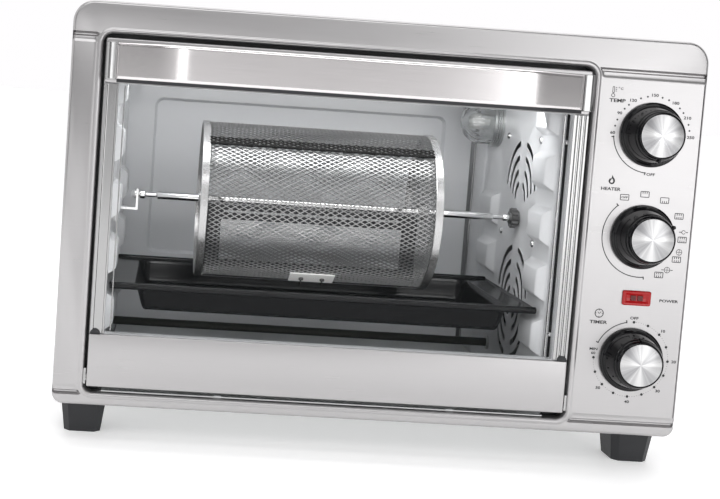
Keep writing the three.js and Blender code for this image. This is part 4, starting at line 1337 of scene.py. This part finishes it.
def baking_tray():
    low, high = box_of("baking_tray")
    flange, roll = 21, 3
    level = high.z - roll
    middle = (low + high) / 2
    rim = (low.x, low.y + roll, high.x, high.y - roll, 4, 4)
    well = (low.x + flange, low.y + 6, high.x - flange, high.y - 6, 12, 12)
    depth = level - low.z - 0.4

    def relief(u, v):
        at_end = abs(u - middle.x) > middle.x - low.x - 3
        lip = 1.6 * smoothstep(1 + beyond(rim, u, v) / 2.5) if at_end else 0
        return lip - depth * smoothstep(-beyond(well, u, v) / 9)

    loops = [rounded(well, -g, 6) for g in (0, 1.5, 3, 4.5, 6, 7.5, 9)]
    loops += [rounded(rim, -g, 4) for g in (0.8, 1.7, 2.5)]
    form = Form().plate(rounded(rim, 0, 4), (), loops, (), relief, lambda u, v, w: w - 0.9,
                        lambda u, v, w: (u, v, level + w))
    for y in (low.y + roll, high.y - roll):
        rod = [(0, low.x), (2.4, low.x), (roll, low.x + 0.6), (roll, high.x - 0.6), (2.4, high.x),
               (0, high.x)]
        form.lathe(rod, (0, y, level), "X", 20)
    make("tray_pan", form, "tray", "drip_tray", ["baking_tray"], smooth=40)


def crumb_tray():
    low, high = box_of("crumb_tray")
    form = Form().box((low.x, low.y + 1, low.z), (high.x, high.y, low.z + 0.9))
    hem = [(0, low.x), (0.8, low.x), (0.8, high.x), (0, high.x)]
    form.lathe(hem, (0, low.y + 0.9, low.z + 0.8), "X", 12)
    for x in (low.x + 96, high.x - 78):  # small pressed stops on the front edge
        form.lathe([(0, x - 4), (1.2, x - 3.4), (1.5, x - 2.4), (1.5, x + 2.4), (1.2, x + 3.4), (0, x + 4)],
                   (0, low.y + 1.6, low.z + 0.9), "X", 14)
    make("crumb_sheet", form, "zinc", "crumb_drawer", ["crumb_tray"])


cavity()
oven_lamp()
spit()
cage()
mechanism()
door()
for dial in DIAL_Z:
    knob(dial)
power_lamp()
print_temperature()
print_function()
print_timer()
baking_tray()
crumb_tray()

# ---- floor, lights and camera -------------------------------------------------------------------

EYE = Vector((-0.1771, -1.1508, 0.2935))
AIM = Vector((-0.0157, -0.166, 0.1712))  # the point of the front at the middle of the picture
ROLL = math.radians(4.18)
LENS = 60.9
SHIFT = (0.19, -0.095)


def camera():
    data = bpy.data.cameras.new("camera")
    data.sensor_width = 36
    data.lens = LENS
    data.shift_x, data.shift_y = SHIFT
    seen = bpy.data.objects.new("camera", data)
    bpy.context.scene.collection.objects.link(seen)
    bpy.context.scene.camera = seen
    rolled = Quaternion((0, 1, 0), -ROLL) @ Vector((0, 1, 0)).to_track_quat("-Z", "Y")
    middle = Vector((SHIFT[0] * data.sensor_width, SHIFT[1] * data.sensor_width, -LENS))
    turn = (rolled @ middle).rotation_difference(AIM - EYE)
    seen.rotation_mode = "QUATERNION"
    seen.rotation_quaternion = turn @ rolled
    seen.location = EYE


def softbox(name, at, size, radiance, target=(0, 0, 0.17)):
    """An even rectangular lamp; radiance is how bright it looks when seen in a mirror."""
    data = bpy.data.lights.new(name, "AREA")
    data.shape = "RECTANGLE"
    data.size, data.size_y = size
    data.energy = radiance * math.pi * size[0] * size[1]
    lamp = bpy.data.objects.new(name, data)
    lamp.location = at
    lamp.visible_camera = False
    lamp.rotation_mode = "QUATERNION"
    lamp.rotation_quaternion = (Vector(target) - Vector(at)).to_track_quat("-Z", "Y")
    bpy.context.scene.collection.objects.link(lamp)


# How bright the room is from straight in front of the oven, at 0, to straight behind it, at 1.
ROOM = ((0.0, 0.52), (0.03, 0.50), (0.09, 0.30), (0.17, 0.17), (0.36, 0.26), (0.56, 1.0))


def surroundings():
    """A room that is white behind the oven and greyer in front, which the polished parts mirror."""
    world = bpy.data.worlds.new("studio")
    bpy.context.scene.world = world
    world.use_nodes = True
    tree = world.node_tree
    toward = add_node(tree, "SeparateXYZ", {"Vector": add_node(tree, "TexCoord", {})["Generated"]})["Y"]
    share = add_node(tree, "MapRange", {"Value": toward, "From Min": -1.0})["Result"]
    stops = [(position, (level, level * 0.99, level)) for position, level in ROOM]
    feed(tree, tree.nodes["Background"], {"Color": color_ramp(tree, share, stops)})


def studio():
    mesh = Form().prism(circle((0, 0), 30000, 96), -20, 0, "Z").mesh("floor")
    floor = bpy.data.objects.new("floor", mesh)
    bpy.context.scene.collection.objects.link(floor)
    pale = finish("pale_floor", (0.92, 0.92, 0.92), 0.0, 0.5, 0.05, (40, 40, 40), 0.01, 0.01, 3.0,
                  emission=0.36)
    mesh.materials.append(pale)
    surroundings()
    bpy.context.scene.view_settings.view_transform = "Standard"
    softbox("key_right", (1.05, -1.9, 0.5), (0.8, 1.5), 2.2)
    softbox("strip_left", (-0.56, -1.9, 0.40), (0.26, 0.5), 2.2)
    softbox("fill_left", (-2.0, -0.9, 1.0), (1.2, 1.6), 0.9)
    softbox("top", (0, 0.1, 2.2), (2.4, 2.0), 1.1)
    softbox("front_fill", (-0.3, -1.8, 1.6), (2.0, 0.8), 2.2)
    middle = (left_low.x + right_high.x) / 2 * MM
    doorway = (middle, left_low.y * MM + 0.012, 0.17)
    softbox("doorway_fill", doorway, (0.40, 0.24), 0.4, (middle, 1, 0.17))
    ceiling = (middle, left_low.y * MM + 0.05, left_high.z * MM - 0.014)
    softbox("cavity_fill", ceiling, (0.38, 0.07), 8.5, (middle, WALL_BACK * MM, 0.10))


camera()
studio()
